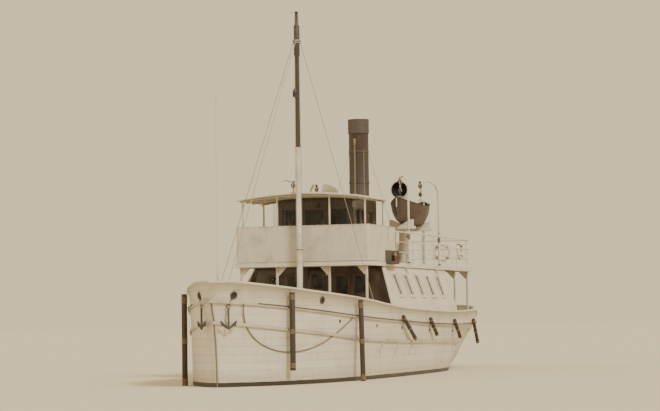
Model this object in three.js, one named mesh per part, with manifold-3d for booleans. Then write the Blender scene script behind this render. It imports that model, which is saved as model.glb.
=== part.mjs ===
// Small lake passenger steamer with one screw, full size. Millimetres, +X forward, +Y port, +Z up.
// The origin is amidships on the centreline at the load waterline.
// "aft" is the distance behind the stem at the waterline, "out" the distance to port, "up" the height.
import * as THREE from 'three';
import { mergeVertices } from 'three/addons/utils/BufferGeometryUtils.js';
import Module from 'manifold-3d';

const wasm = await Module();
wasm.setup();

// Driving dimensions
const STEM_X = 11500;
const CONTACT_GAP = 0.3;
const PAINT = { white: 0xd9d2c0, canvas: 0xcdc4ae, deck: 0xa8906c, varnish: 0x5b3a22, dark: 0x2e2722 };
const METAL = { iron: 0x3b3733, funnel: 0x4a423a, bronze: 0x9a7840, wire: 0x6b665f };

// Hull lines: aft, bottom, height of the turn, half width there, fullness, half width at deck, flare
const HULL_LINES = [
  [0, -1750, 0, 60, 1.15, 70, 1.7],
  [200, -1755, 0, 270, 1.15, 330, 1.7],
  [500, -1760, 0, 560, 1.2, 640, 1.7],
  [1000, -1765, 0, 970, 1.25, 1020, 1.7],
  [1800, -1770, 0, 1445, 1.35, 1490, 1.65],
  [3000, -1775, 0, 1915, 1.5, 1985, 1.6],
  [4500, -1780, 0, 2270, 1.75, 2430, 1.5],
  [6000, -1785, 0, 2470, 2.0, 2680, 1.4],
  [8000, -1790, 0, 2610, 2.3, 2790, 1.3],
  [11000, -1795, 0, 2670, 2.6, 2800, 1.2],
  [14500, -1800, 0, 2640, 2.5, 2800, 1.2],
  [17000, -1740, 30, 2440, 2.1, 2765, 1.2],
  [19000, -1360, 110, 1980, 1.75, 2690, 1.2],
  [20500, -800, 200, 1640, 1.5, 2560, 1.2],
  [21500, -430, 290, 1460, 1.45, 2400, 1.2],
  [22500, -130, 400, 1330, 1.5, 2180, 1.2],
  [23500, 140, 540, 1180, 1.6, 1900, 1.2],
  [24300, 380, 680, 1020, 1.7, 1580, 1.2],
  [25000, 640, 830, 780, 1.8, 1180, 1.2],
  [25450, 830, 950, 540, 1.8, 830, 1.2],
  [25700, 960, 1040, 320, 1.8, 530, 1.2],
];
const HULL_COLUMNS = ['bottom', 'turn', 'turnHalf', 'fullness', 'deckHalf', 'flare'];
const HULL_STATIONS = [0, 80, 200, 380, 620, 950, 1350, 1800, 2350, 3000, 3800, 4700, 5700, 6800, 8000,
  9600, 11500, 13500, 15300, 17000, 18300, 19500, 20500, 21300, 22000, 22700, 23400, 24000, 24500,
  24900, 25200, 25450, 25600, 25700];
const BELOW_TURN_STEPS = 6;
const ABOVE_TURN_STEPS = 4;
const KEEL_HALF = 70;
// Heights by distance aft: deck edge, top of the bulwark's cap, lower rubbing rail
const SHEER_ROWS = [[0, 2580], [1800, 2400], [3000, 2290], [5600, 2080], [8850, 1940], [10500, 1890],
  [14000, 1790], [18000, 1740], [22000, 1780], [25700, 1920]];
const RAIL_ROWS = [[0, 3090], [2000, 2900], [4000, 2730], [6700, 2530], [8850, 2370], [12500, 2240],
  [16900, 2170], [20500, 2220], [25700, 2430]];
const UPPER_RUB_DROP = 80;
const LOWER_RUB_ROWS = [[0, 1880], [2000, 1640], [4000, 1470], [6200, 1290], [11000, 1150], [19000, 1060]];
const BULWARK = { outer: -18, inner: -73, capOut: 35, capIn: -115, cap: 50, sunk: 10, split: 13500 };
const RUB = { out: 55, high: 90, sunk: 60, stem: 45 };
const DECK_PLANKS = 40;
// Keel, stern frame, propeller and rudder
const KEEL = { bottom: -2000, shoeTop: -1890, foot: 1450, heel: 22090 };
const APERTURE = { fore: 20650, aft: 21730, top: -300 };
const RUDDER_POST_AFT = 21880;
const SHAFT = { up: -1150, radius: 50, bore: 57, boss: 115, bossAft: 20830, bossFore: 19600 };
const PROPELLER = { aft: 21200, radius: 530, blades: 4, pitchDeg: 52 };
const RUDDER = { aft: 21990, stock: 45, bore: 51, bottom: -1840, top: -440, tail: 22980, tailTop: -230,
  thick: 60, stockTop: 320, pin: -1985 };
// Upper deck and what stands under it
const UPPER_DECK = { fore: 7850, aft: 21400, half: 2300, top: 3800, slab: 60, fascia: 140, beam: 90 };
// The saloon's sides reach further forward at their foot than at their top
const SALOON = { fore: 9550, footFore: 8850, aft: 17500, wall: 45, topHalf: 2250 };
const SIDE_WINDOW = { wide: 500, low: 2690, high: 3400, aft: [10450, 11850, 13250, 14650, 16050] };
const END_WINDOW = { wide: 420, low: 2750, high: 3380 };
const DOOR = { wide: 720, high: 1620, thick: 40, gap: 8, sill: 60, paneHalf: 200, paneLow: 900,
  paneHigh: 1430 };
const CASING = { fore: 12200, aft: 16600, half: 900, foot: 1650, top: 4550, hole: 6 };
const STAIR = { fore: 17650, aft: 19100, port: -1050, starboard: -1950, foot: 19020, head: 17730, treads: 8 };
const PILLAR = 45;
// Bridge
const BRIDGE = { rail: 7950, half: 2220, roofTop: 5900, crown: 180, roof: 60, roofHalf: 2230, roofFore: 7830,
  roofAft: 10250, neckHalf: 1430, neckAft: 12250, dodgerTop: 4990, dodgerAft: 11000 };
const WHEELHOUSE = { fore: 9300, aft: 12100, half: 1300, wall: 45, sillUp: 4930, headUp: 5600 };
const WHEELHOUSE_DOOR = { fore: 11100, aft: 11740, low: 3900, high: 5660 };
const HELM = { aft: 10050, up: 4720, radius: 420, post: 10200, postLong: 240 };
// Funnel, ventilators, masts
const FUNNEL = { aft: 14400, radius: 350, wall: 22, top: 9000, cap: 375, capHigh: 500, bore: 1500 };
const WHISTLE = { aft: 13900, top: 8300, radius: 32 };
const COWL = { aft: 15600, out: 1250, pipe: 150, mouth: 320, up: 6500, reach: 430, coaming: 190 };
const MAST = { aft: 7640, foot: 100, top: 12000, tip: 45, stayUp: 11000, hounds: 96, houndsLow: 10560,
  houndsHigh: 11500 };
const SHROUD = { aft: 6950, out: 2690 };
const JACKSTAFF = { aft: 155, top: 8500, radius: 38 };
const ENSIGN = { aft: 25350, top: 4700, radius: 28, rake: 500 };
// Boats and davits
const BOAT = { fore: 12350, aft: 15950, out: 1950, half: 560, keel: 5190, sheer: 5830, endRise: 250, wall: 22,
  thwart: 5600 };
const SKID = { up: 5000, high: 100, thick: 110, aft: [12950, 15200], half: 2440 };
const DAVIT = { out: 2430, foot: 3670, shoulder: 6400, head: 6830, radius: 38, bore: 44 };
const DAVIT_SOCKET = { low: 3640, high: 3785, half: 85, outer: 2515 };
// name, side, aft of its post, aft of the lifting hook
const DAVITS = [
  ['davit_port_fore', 1, 12150, 12830],
  ['davit_port_aft', 1, 16150, 15470],
  ['davit_starboard_fore', -1, 12150, 12830],
  ['davit_starboard_aft', -1, 16150, 15470],
];
// Fenders: aft at the top, aft at the foot, height of the top, height of the foot, radius
const FENDERS = [
  [5300, 5450, 2520, -40, 80],
  [9570, 11050, 1990, 1230, 62],
  [13000, 13850, 1900, 1330, 62],
  [16400, 17200, 1830, 1200, 62],
  [19950, 20600, 1840, 960, 62],
];
// The foremost fender hangs lower on the starboard bow
const BOW_FENDER = { aft: 1800, top: 2750, portFoot: 430, starboardFoot: -60, radius: 85 };

const group = new THREE.Group();
group.name = 'lake_passenger_steamer';

// Shape helpers
const at = (aft, out, up) => new THREE.Vector3(STEM_X - aft, out, up);

function curve(rows) {
  const steps = rows.slice(1).map((row, i) => (row[1] - rows[i][1]) / (row[0] - rows[i][0]));
  const slopes = rows.map((row, i) => {
    const before = steps[Math.max(i - 1, 0)];
    const after = steps[Math.min(i, steps.length - 1)];
    return before * after <= 0 ? 0 : (2 * before * after) / (before + after);
  });
  return (where) => {
    const found = rows.findIndex((row) => row[0] > where);
    const i = Math.max((found < 0 ? rows.length : found) - 1, 0);
    const k = Math.min(i, rows.length - 2);
    const span = rows[k + 1][0] - rows[k][0];
    const t = THREE.MathUtils.clamp((where - rows[k][0]) / span, 0, 1);
    const rise = t * t * (3 - 2 * t);
    const lead = t * (1 - t) * (1 - t) * slopes[k];
    const trail = t * t * (1 - t) * slopes[k + 1];
    return rows[k][1] + (rows[k + 1][1] - rows[k][1]) * rise + (lead - trail) * span;
  };
}

function solidOf(geometry) {
  const bare = geometry.index ? geometry.toNonIndexed() : geometry.clone();
  bare.deleteAttribute('normal');
  bare.deleteAttribute('uv');
  const merged = mergeVertices(bare, 0.001);
  const vertProperties = new Float32Array(merged.attributes.position.array);
  const triVerts = new Uint32Array(merged.index.array);
  return new wasm.Manifold(new wasm.Mesh({ numProp: 3, vertProperties, triVerts }));
}

function geometryOf(solid) {
  const mesh = solid.getMesh();
  const geometry = new THREE.BufferGeometry();
  geometry.setAttribute('position', new THREE.BufferAttribute(mesh.vertProperties, 3));
  geometry.setIndex(new THREE.BufferAttribute(mesh.triVerts, 1));
  geometry.computeVertexNormals();
  return geometry;
}

function node(name, solid, color, roughness = 0.7, metalness = 0) {
  const material = new THREE.MeshStandardMaterial({ color, roughness, metalness });
  const mesh = new THREE.Mesh(geometryOf(solid), material);
  mesh.name = name;
  group.add(mesh);
  return solid;
}

const join = (...solids) => solids.reduce((whole, piece) => whole.add(piece));
const mirrored = (solid) => solid.mirror([0, 1, 0]);
const standing = (solid, support) => solid.subtract(support.translate([0, 0, CONTACT_GAP]));

// Box between two distances aft, two distances out and two heights
function block(aft0, aft1, out0, out1, up0, up1) {
  const box = new THREE.BoxGeometry(aft1 - aft0, out1 - out0, up1 - up0);
  box.translate(STEM_X - (aft0 + aft1) / 2, (out0 + out1) / 2, (up0 + up1) / 2);
  return solidOf(box);
}

// Straight bar of round or square section between two points
function rod(from, to, radius, sides = 8, endRadius = radius) {
  const along = to.clone().sub(from);
  const bar = new THREE.CylinderGeometry(endRadius, radius, along.length(), sides, 1);
  bar.rotateY(Math.PI / sides);
  bar.translate(0, along.length() / 2, 0);
  const turn = new THREE.Quaternion().setFromUnitVectors(new THREE.Vector3(0, 1, 0), along.normalize());
  bar.applyQuaternion(turn);
  bar.translate(from.x, from.y, from.z);
  return solidOf(bar);
}

// Solid of revolution about the vertical line at (aft, out): rows of [radius, height]
function turned(aft, out, rows, sides = 24) {
  const lathe = new THREE.LatheGeometry(rows.map(([r, h]) => new THREE.Vector2(r, h)), sides);
  lathe.rotateX(Math.PI / 2);
  lathe.translate(STEM_X - aft, out, 0);
  return solidOf(lathe);
}

function signedVolume(points, triangles) {
  let total = 0;
  triangles.forEach(([i, j, k]) => {
    total += points[i].dot(new THREE.Vector3().crossVectors(points[j], points[k]));
  });
  return total;
}

// Flat outline of a ring, for its end cap
function capTriangles(ring, first) {
  const normal = new THREE.Vector3();
  ring.forEach((point, i) => {
    normal.add(new THREE.Vector3().crossVectors(point, ring[(i + 1) % ring.length]));
  });
  normal.normalize();
  const side = new THREE.Vector3(0, 0, 1).cross(normal);
  const across = side.lengthSq() > 0.01 ? side.normalize() : new THREE.Vector3(1, 0, 0);
  const upward = new THREE.Vector3().crossVectors(normal, across);
  const flat = ring.map((point) => new THREE.Vector2(point.dot(across), point.dot(upward)));
  const turns = THREE.ShapeUtils.triangulateShape(flat, []);
  return turns.map((corners) => corners.map((corner) => first + corner));
}

// End cap of a ring whose first half runs up one side and whose second half runs down the other
function ladderTriangles(ring, first) {
  const last = ring.length - 1;
  return [...Array(ring.length / 2 - 1).keys()].flatMap((i) => {
    const [a, b, c, d] = [first + i, first + i + 1, first + last - i - 1, first + last - i];
    return [[a, b, c], [a, c, d]];
  });
}

// Closed body through rings of equal length, each a list of points; a looped one has no ends
function loft(rings, looped = false, capped = capTriangles) {
  const count = rings[0].length;
  const points = rings.flat();
  const triangles = [];
  const last = looped ? rings.length : rings.length - 1;
  for (let i = 0; i < last; i += 1) {
    const next = (i + 1) % rings.length;
    for (let j = 0; j < count; j += 1) {
      const k = (j + 1) % count;
      const [a, b, c, d] = [i * count + j, i * count + k, next * count + k, next * count + j];
      triangles.push([a, b, c], [a, c, d]);
    }
  }
  if (!looped) {
    const tail = (rings.length - 1) * count;
    const startCap = capped(rings[0], 0);
    const endCap = capped(rings[rings.length - 1], tail);
    const matches = (caps, i, j) => caps.some((t) => t.some((p, n) => p === i && t[(n + 1) % 3] === j));
    const flip = (caps) => caps.map(([i, j, k]) => [i, k, j]);
    triangles.push(...(matches(startCap, 0, 1) ? flip(startCap) : startCap));
    triangles.push(...(matches(endCap, tail, tail + 1) ? endCap : flip(endCap)));
  }
  const outward = signedVolume(points, triangles) < 0
    ? triangles.map(([i, j, k]) => [i, k, j])
    : triangles;
  const geometry = new THREE.BufferGeometry();
  geometry.setAttribute('position', new THREE.Float32BufferAttribute(points.flatMap((p) => p.toArray()), 3));
  geometry.setIndex(outward.flat());
  return solidOf(geometry);
}

// Flat outline in the (aft, up) plane, given a thickness across the ship
function sideProfile(outline, out0, out1) {
  const shape = new THREE.Shape(outline.map(([aft, up]) => new THREE.Vector2(STEM_X - aft, up)));
  const plate = new THREE.ExtrudeGeometry(shape, { depth: out1 - out0, bevelEnabled: false });
  plate.rotateX(Math.PI / 2);
  plate.translate(0, out1, 0);
  return solidOf(plate);
}

// Flat outline in the (out, up) plane, given a thickness along the ship
function crossProfile(outline, aft0, aft1) {
  const rings = [aft0, aft1].map((aft) => outline.map(([out, up]) => at(aft, out, up)));
  return loft(rings);
}

// Flat outline in the (aft, out) plane, given a thickness upwards
function planProfile(outline, up0, up1) {
  const rings = [up0, up1].map((up) => outline.map(([aft, out]) => at(aft, out, up)));
  return loft(rings);
}

// Hull
const lines = Object.fromEntries(
  HULL_COLUMNS.map((column, i) => [column, curve(HULL_LINES.map((row) => [row[0], row[i + 1]]))]),
);
const sheer = curve(SHEER_ROWS);
const railTop = curve(RAIL_ROWS);
const upperRub = (aft) => sheer(aft) - UPPER_RUB_DROP;
const lowerRub = curve(LOWER_RUB_ROWS);

// The stem rises plumb and springs forward at its head; below water it rounds into the keel
function stemShift(up) {
  const metres = up / 1000;
  return metres >= 0
    ? -1000 * (0.04 * metres + 0.022 * metres ** 3)
    : 1000 * (-0.04 * metres + 0.26 * metres ** 2);
}

// Point of the hull's skin frame: the bow's stations lean with the stem, the stern's with the counter
function skin(aft, out, up) {
  const bow = THREE.MathUtils.clamp(1 - aft / 3000, 0, 1) ** 2;
  const stern = THREE.MathUtils.clamp((aft - 23500) / 2200, 0, 1) ** 2;
  return at(aft + stemShift(up) * bow + 0.22 * (up - 960) * stern, out, up);
}

function halfWidth(aft, up) {
  const deck = sheer(aft);
  const turn = lines.turn(aft);
  const t = Math.max((up - turn) / (deck - turn), 0);
  return lines.turnHalf(aft) + (lines.deckHalf(aft) - lines.turnHalf(aft)) * t ** lines.flare(aft);
}

function hullRing(aft) {
  const [bottom, turn, half] = [lines.bottom(aft), lines.turn(aft), lines.turnHalf(aft)];
  const keelHalf = Math.min(KEEL_HALF, half);
  const power = 2 / lines.fullness(aft);
  const port = [];
  for (let i = 0; i <= BELOW_TURN_STEPS; i += 1) {
    const angle = (Math.PI / 2) * (i / BELOW_TURN_STEPS);
    const out = keelHalf + (half - keelHalf) * Math.sin(angle) ** power;
    port.push([out, turn + (bottom - turn) * Math.cos(angle) ** power]);
  }
  for (let i = 1; i <= ABOVE_TURN_STEPS; i += 1) {
    const up = turn + (sheer(aft) - turn) * (i / ABOVE_TURN_STEPS);
    port.push([halfWidth(aft, up), up]);
  }
  const starboard = port.map(([out, up]) => [-out, up]).reverse();
  return [...port, ...starboard].map(([out, up]) => skin(aft, out, up));
}

function buildHull() {
  const body = loft(HULL_STATIONS.map(hullRing), false, ladderTriangles);
  const fin = sideProfile(
    [[900, -1700], [KEEL.foot, KEEL.bottom], [KEEL.heel, KEEL.bottom], [KEEL.heel, KEEL.shoeTop],
      [RUDDER_POST_AFT, KEEL.shoeTop], [RUDDER_POST_AFT, -200], [20300, -150], [19500, -700],
      [17500, -1400], [15000, -1650], [2500, -1650]],
    -KEEL_HALF, KEEL_HALF,
  ).subtract(block(APERTURE.fore, APERTURE.aft, -100, 100, KEEL.shoeTop, APERTURE.top));
  const boss = rod(at(SHAFT.bossFore, 0, SHAFT.up), at(SHAFT.bossAft, 0, SHAFT.up), SHAFT.boss, 16);
  const bore = rod(at(SHAFT.bossAft - 280, 0, SHAFT.up), at(SHAFT.bossAft + 20, 0, SHAFT.up), SHAFT.bore, 16);
  const stockBore = rod(at(RUDDER.aft, 0, RUDDER.pin - 30), at(RUDDER.aft, 0, RUDDER.stockTop + 20),
    RUDDER.bore, 16);
  return join(body, fin, boss).subtract(bore).subtract(stockBore);
}

const hull = node('hull', buildHull(), PAINT.white, 0.6);
const hullCutter = join(hull.scale([1.0003, 1.0003, 1]), hull).translate([0, 0, CONTACT_GAP]);

// Stations round one side from the bow to the stern, without the stem's own station
const SIDE_STATIONS = HULL_STATIONS.filter((aft) => aft > 0);

function planPath(stations, half, up, proud = 0) {
  const bow = skin(0, 0, up(0)).add(new THREE.Vector3(proud, 0, 0));
  const ends = { bow, stern: skin(25700, 0, up(25700)).add(new THREE.Vector3(-30, 0, 0)) };
  const port = stations.map((aft) => skin(aft, half(aft), up(aft)));
  const starboard = port.map((p) => new THREE.Vector3(p.x, -p.y, p.z)).reverse();
  return { port, starboard, ends };
}

// Sections along a path in plan; the section gives [outward offset, height] pairs from (i, path point)
function sweepPlan(path, section, looped) {
  const rings = path.map((point, i) => {
    const before = path[looped ? (i + path.length - 1) % path.length : Math.max(i - 1, 0)];
    const after = path[looped ? (i + 1) % path.length : Math.min(i + 1, path.length - 1)];
    const along = new THREE.Vector3(after.x - before.x, after.y - before.y, 0).normalize();
    const outward = new THREE.Vector3(-along.y, along.x, 0);
    if (outward.dot(new THREE.Vector3(Math.sign(point.x) * 0.15, Math.sign(point.y), 0)) < 0) {
      outward.negate();
    }
    return section(point).map(([offset, up]) => {
      const place = point.clone().addScaledVector(outward, offset);
      place.z = up;
      return place;
    });
  });
  return loft(rings, looped);
}

const aftOf = (point) => THREE.MathUtils.clamp(STEM_X - point.x, 0, 25700);

function rubRail(height, looped, lastAft) {
  const stations = SIDE_STATIONS.filter((aft) => aft > 60 && aft <= lastAft);
  const half = (aft) => halfWidth(aft, height(aft));
  const { port, starboard, ends } = planPath(stations, half, height, RUB.stem);
  const path = looped ? [ends.bow, ...port, ends.stern, ...starboard] : [...port.reverse(), ends.bow,
    ...starboard.reverse()];
  const rise = RUB.high / 2;
  const rail = sweepPlan(path, (point) => {
    const mid = point.z;
    return [[-RUB.sunk, mid - rise], [RUB.out, mid - rise], [RUB.out, mid + rise], [-RUB.sunk, mid + rise]];
  }, looped);
  return rail.subtract(hullCutter);
}

const upperRail = node('rub_rail_upper', rubRail(upperRub, true, 25700), PAINT.white);
const railCutter = upperRail.scale([1.0006, 1.0006, 1]);
node('rub_rail_lower', rubRail(lowerRub, false, 19600), PAINT.white);

// Bulwark walls with their cap rail; they lean out over the bow and the stern
const lean = curve([[0, 90], [3000, 60], [8000, 0], [20000, 0], [25700, 70]]);

function bulwark(stations, endName) {
  const { port, starboard, ends } = planPath(stations, (aft) => lines.deckHalf(aft), sheer);
  const end = ends[endName];
  const path = endName === 'bow'
    ? [...port.reverse(), end, ...starboard.reverse()]
    : [...port, end, ...starboard];
  const wall = sweepPlan(path, (point) => {
    const aft = aftOf(point);
    const [tilt, top] = [lean(aft), railTop(aft) - BULWARK.cap];
    const capTop = top + BULWARK.cap;
    const foot = point.z - BULWARK.sunk;
    return [[BULWARK.outer, foot], [BULWARK.outer + tilt, top], [BULWARK.capOut + tilt, top],
      [BULWARK.capOut + tilt, capTop], [BULWARK.capIn + tilt, capTop], [BULWARK.capIn + tilt, top],
      [BULWARK.inner + tilt, top], [BULWARK.inner, foot]];
  }, false);
  return wall.subtract(hullCutter);
}

const foreStations = [...SIDE_STATIONS.filter((aft) => aft > 80 && aft < BULWARK.split), BULWARK.split];
const aftStations = [BULWARK.split + 2, ...SIDE_STATIONS.filter((aft) => aft > BULWARK.split)];
const bulwarkFore = node('bulwark_fore', bulwark(foreStations, 'bow'), PAINT.white);
const bulwarkAft = node('bulwark_aft', bulwark(aftStations, 'stern'), PAINT.white);

// Deck planking inside the bulwarks
function mainDeck() {
  const stations = HULL_STATIONS.filter((aft) => aft >= 200 && aft <= 25450);
  const rings = stations.map((aft) => {
    const half = lines.deckHalf(aft) + BULWARK.inner - 60;
    const [low, high] = [sheer(aft) - 20, sheer(aft) + DECK_PLANKS];
    return [skin(aft, half, low), skin(aft, half, high), skin(aft, -half, high), skin(aft, -half, low)];
  });
  return loft(rings);
}

const planking = mainDeck();
const deck = join(hull, planking);
node('main_deck', standing(planking, hull), PAINT.deck, 0.8);

// Propeller with its shaft, and the rudder with its stock
function blade() {
  const rings = [0.16, 0.35, 0.6, 0.82, 0.97].map((share, i) => {
    const radius = share * PROPELLER.radius;
    const chord = [120, 240, 330, 300, 130][i];
    const thick = [46, 34, 24, 16, 9][i];
    const twist = THREE.MathUtils.degToRad(PROPELLER.pitchDeg * (1.3 - 0.75 * share));
    const outline = [[-0.5, 0], [-0.2, 0.45], [0.2, 0.5], [0.5, 0.05], [0.2, -0.5], [-0.2, -0.45]];
    return outline.map(([c, t]) => {
      const [across, along] = [c * chord, t * thick];
      const y = across * Math.cos(twist) - along * Math.sin(twist);
      const x = across * Math.sin(twist) + along * Math.cos(twist);
      return new THREE.Vector3(x, y, radius);
    });
  });
  return loft(rings);
}

function propeller() {
  const hub = new THREE.LatheGeometry([[0, -120], [70, -120], [95, -60], [95, 40], [60, 120], [0, 160]]
    .map(([r, h]) => new THREE.Vector2(r, h)), 16);
  hub.rotateZ(Math.PI / 2);
  const blades = [...Array(PROPELLER.blades).keys()]
    .map((i) => blade().rotate([(360 * i) / PROPELLER.blades, 0, 0]));
  const wheel = join(solidOf(hub), ...blades).translate([STEM_X - PROPELLER.aft, 0, SHAFT.up]);
  const shaft = rod(at(SHAFT.bossAft - 250, 0, SHAFT.up), at(PROPELLER.aft, 0, SHAFT.up), SHAFT.radius, 16);
  return join(wheel, shaft);
}

function rudder() {
  const plate = sideProfile(
    [[RUDDER.aft - 30, RUDDER.bottom], [RUDDER.tail - 60, RUDDER.bottom], [RUDDER.tail, RUDDER.bottom + 120],
      [RUDDER.tail, RUDDER.tailTop - 80], [RUDDER.tail - 90, RUDDER.tailTop], [RUDDER.aft - 30, RUDDER.top]],
    -RUDDER.thick / 2, RUDDER.thick / 2,
  );
  const stock = rod(at(RUDDER.aft, 0, RUDDER.pin), at(RUDDER.aft, 0, RUDDER.stockTop), RUDDER.stock, 16);
  const straps = [-1550, -800].map((up) => block(RUDDER.aft, RUDDER.tail - 250, -48, 48, up - 45, up + 45));
  return join(plate, stock, ...straps);
}

node('propeller', propeller(), METAL.bronze, 0.4, 0.9);
node('rudder', rudder(), METAL.iron);

// Upper deck: planked slab with a fascia round it, open for the casing and the stair
function upperDeck() {
  const { fore, aft, half, top, slab, fascia, beam } = UPPER_DECK;
  const plate = block(fore, aft, -half, half, top - slab, top);
  const ring = block(fore, aft, -half, half, top - fascia, top - slab)
    .subtract(block(fore + beam, aft - beam, -half + beam, half - beam, top - fascia - 10, top));
  const casingHole = block(CASING.fore - CASING.hole, CASING.aft + CASING.hole, -CASING.half - CASING.hole,
    CASING.half + CASING.hole, top - 200, top + 50);
  const stairHole = block(STAIR.fore, STAIR.aft, STAIR.starboard, STAIR.port, top - 200, top + 50);
  const ventCollars = [1, -1].map((side) => cowlBase(side * COWL.out));
  const sockets = DAVITS.map(([, side, post]) => davitSocket(side, post));
  return join(plate, ring, ...ventCollars, ...sockets).subtract(casingHole).subtract(stairHole);
}

// Bracket on the deck's edge that a davit's foot stands and turns in
function davitSocket(side, post) {
  const { low, high, half: reach, outer } = DAVIT_SOCKET;
  const [near, far] = [UPPER_DECK.half - 10, outer].map((edge) => side * edge).sort((a, b) => a - b);
  const out = side * DAVIT.out;
  const bore = rod(at(post, out, DAVIT.foot - CONTACT_GAP), at(post, out, high + 20), DAVIT.bore, 12);
  return block(post - reach, post + reach, near, far, low, high).subtract(bore);
}

const upperDeckSolid = node('upper_deck', upperDeck(), PAINT.deck, 0.8);
const underDeck = UPPER_DECK.top - UPPER_DECK.slab;
const underFascia = UPPER_DECK.top - UPPER_DECK.fascia;

// Frames of pillars under the upper deck: name, aft, pillars' distances out
const DECK_FRAMES = [
  ['deck_frame_fore', 8010, [-2160, -900, 900, 2160]],
  ['deck_frame_aft', 19350, [-2160, 2160]],
  ['deck_frame_last', 21250, [-2160, -900, 900, 2160]],
];

function deckFrame(aft, outs) {
  const beam = block(aft - 45, aft + 45, -2200, 2200, underDeck - 80, underDeck - CONTACT_GAP);
  const pillars = outs.map((out) => (
    rod(at(aft, out, sheer(aft) - 60), at(aft, out, underDeck - 40), PILLAR, 8)
  ));
  return standing(join(beam, ...pillars), deck);
}

DECK_FRAMES.forEach(([name, aft, outs]) => node(name, deckFrame(aft, outs), PAINT.white));

// Saloon: leaning sides from the cap rail to the upper deck, and a bulkhead at each end
function saloonSide() {
  const { fore, footFore, aft, wall, topHalf } = SALOON;
  const high = underFascia - CONTACT_GAP;
  const stations = [[footFore, fore], ...[10800, 12900, 14900, aft].map((where) => [where, where])];
  const rings = stations.map(([where, topWhere]) => {
    const foot = lines.deckHalf(where) - 15;
    const low = railTop(where) - 25;
    return [at(where, foot, low), at(topWhere, topHalf, high), at(topWhere, topHalf - wall, high),
      at(where, foot - wall, low)];
  });
  const reach = SIDE_WINDOW.wide / 2;
  const windows = SIDE_WINDOW.aft.map((where) => (
    block(where - reach, where + reach, topHalf - 250, topHalf + 750, SIDE_WINDOW.low, SIDE_WINDOW.high)
  ));
  const panel = windows.reduce((solid, window) => solid.subtract(window), loft(rings));
  return standing(panel, join(bulwarkFore, bulwarkFore.translate([-3, 0, 0]), bulwarkAft));
}

const saloonPort = node('saloon_side_port', saloonSide(), PAINT.white);
node('saloon_side_starboard', mirrored(saloonPort), PAINT.white);

// Outer face of a bulkhead, and the distances out of its windows
function saloonBulkhead(face, panes) {
  const [near, far] = face === SALOON.fore ? [face, face + SALOON.wall] : [face - SALOON.wall, face];
  const floor = sheer(face) - 30;
  const low = lines.deckHalf(face) - 150;
  const rail = railTop(face) - 40;
  const top = underDeck - CONTACT_GAP;
  const lip = SALOON.topHalf - SALOON.wall - 20;
  const portSide = [[low, floor], [low, rail], [lip + 18, underFascia - 60], [lip - 60, underFascia],
    [lip - 60, top]];
  const outline = [...portSide, ...portSide.map(([out, up]) => [-out, up]).reverse()];
  const sill = sheer(face) + DECK_PLANKS + DOOR.sill;
  const doorway = block(near - 10, far + 10, -DOOR.wide / 2, DOOR.wide / 2, sill, sill + DOOR.high);
  const reach = END_WINDOW.wide / 2;
  const openings = panes.map((out) => (
    block(near - 10, far + 10, out - reach, out + reach, END_WINDOW.low, END_WINDOW.high)
  ));
  const panel = [doorway, ...openings].reduce((solid, hole) => solid.subtract(hole),
    crossProfile(outline, near, far));
  return standing(panel, deck);
}

function saloonDoor(face) {
  const sill = sheer(face) + DECK_PLANKS + DOOR.sill;
  const near = face === SALOON.fore ? face : face - DOOR.thick;
  const reach = DOOR.wide / 2 - DOOR.gap;
  const leaf = block(near, near + DOOR.thick, -reach, reach, sill + DOOR.gap, sill + DOOR.high - DOOR.gap);
  return leaf.subtract(block(face - 100, face + 100, -DOOR.paneHalf, DOOR.paneHalf, sill + DOOR.paneLow,
    sill + DOOR.paneHigh));
}

node('saloon_bulkhead_fore', saloonBulkhead(SALOON.fore, [-1500, -850, 850, 1500]), PAINT.varnish);
node('saloon_bulkhead_aft', saloonBulkhead(SALOON.aft, [-1500, 1500]), PAINT.white);
node('saloon_door_fore', saloonDoor(SALOON.fore), PAINT.varnish);
node('saloon_door_aft', saloonDoor(SALOON.aft), PAINT.varnish);

// Engine and boiler casing through both decks
const casingBody = block(CASING.fore, CASING.aft, -CASING.half, CASING.half, CASING.foot, CASING.top);
const casing = node('engine_casing', standing(casingBody, deck), PAINT.white);

// Stair from the main deck to the upper deck
function stair() {
  const [foot, head] = [sheer(STAIR.foot) + DECK_PLANKS, UPPER_DECK.top - 20];
  const strings = [STAIR.starboard + 40, STAIR.port - 80].map((out) => sideProfile(
    [[STAIR.foot, foot - 30], [STAIR.foot - 190, foot - 30], [STAIR.head, head - 160], [STAIR.head, head]],
    out, out + 40,
  ));
  const treads = [...Array(STAIR.treads).keys()].map((i) => {
    const share = (i + 0.7) / (STAIR.treads + 0.4);
    const aft = STAIR.foot - 110 + (STAIR.head - STAIR.foot + 110) * share;
    const up = foot + (head - foot) * share;
    return block(aft - 90, aft + 90, STAIR.starboard + 50, STAIR.port - 50, up - 30, up);
  });
  return standing(join(...strings, ...treads), deck);
}

node('upper_deck_stair', stair(), PAINT.varnish);

// Railings of square bars: straight runs with stanchions
function railRun(from, to, posts, rise, heights) {
  const bars = heights.map((up) => {
    const lift = new THREE.Vector3(0, 0, up);
    return rod(from.clone().add(lift), to.clone().add(lift), up === rise ? 26 : 16, 4);
  });
  const stanchions = [...Array(posts).keys()].map((i) => {
    const foot = from.clone().lerp(to, (i + 0.12) / (posts - 0.76));
    return rod(foot.clone().add(new THREE.Vector3(0, 0, CONTACT_GAP)),
      foot.clone().add(new THREE.Vector3(0, 0, rise)), 20, 4);
  });
  return join(...bars, ...stanchions);
}

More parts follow.
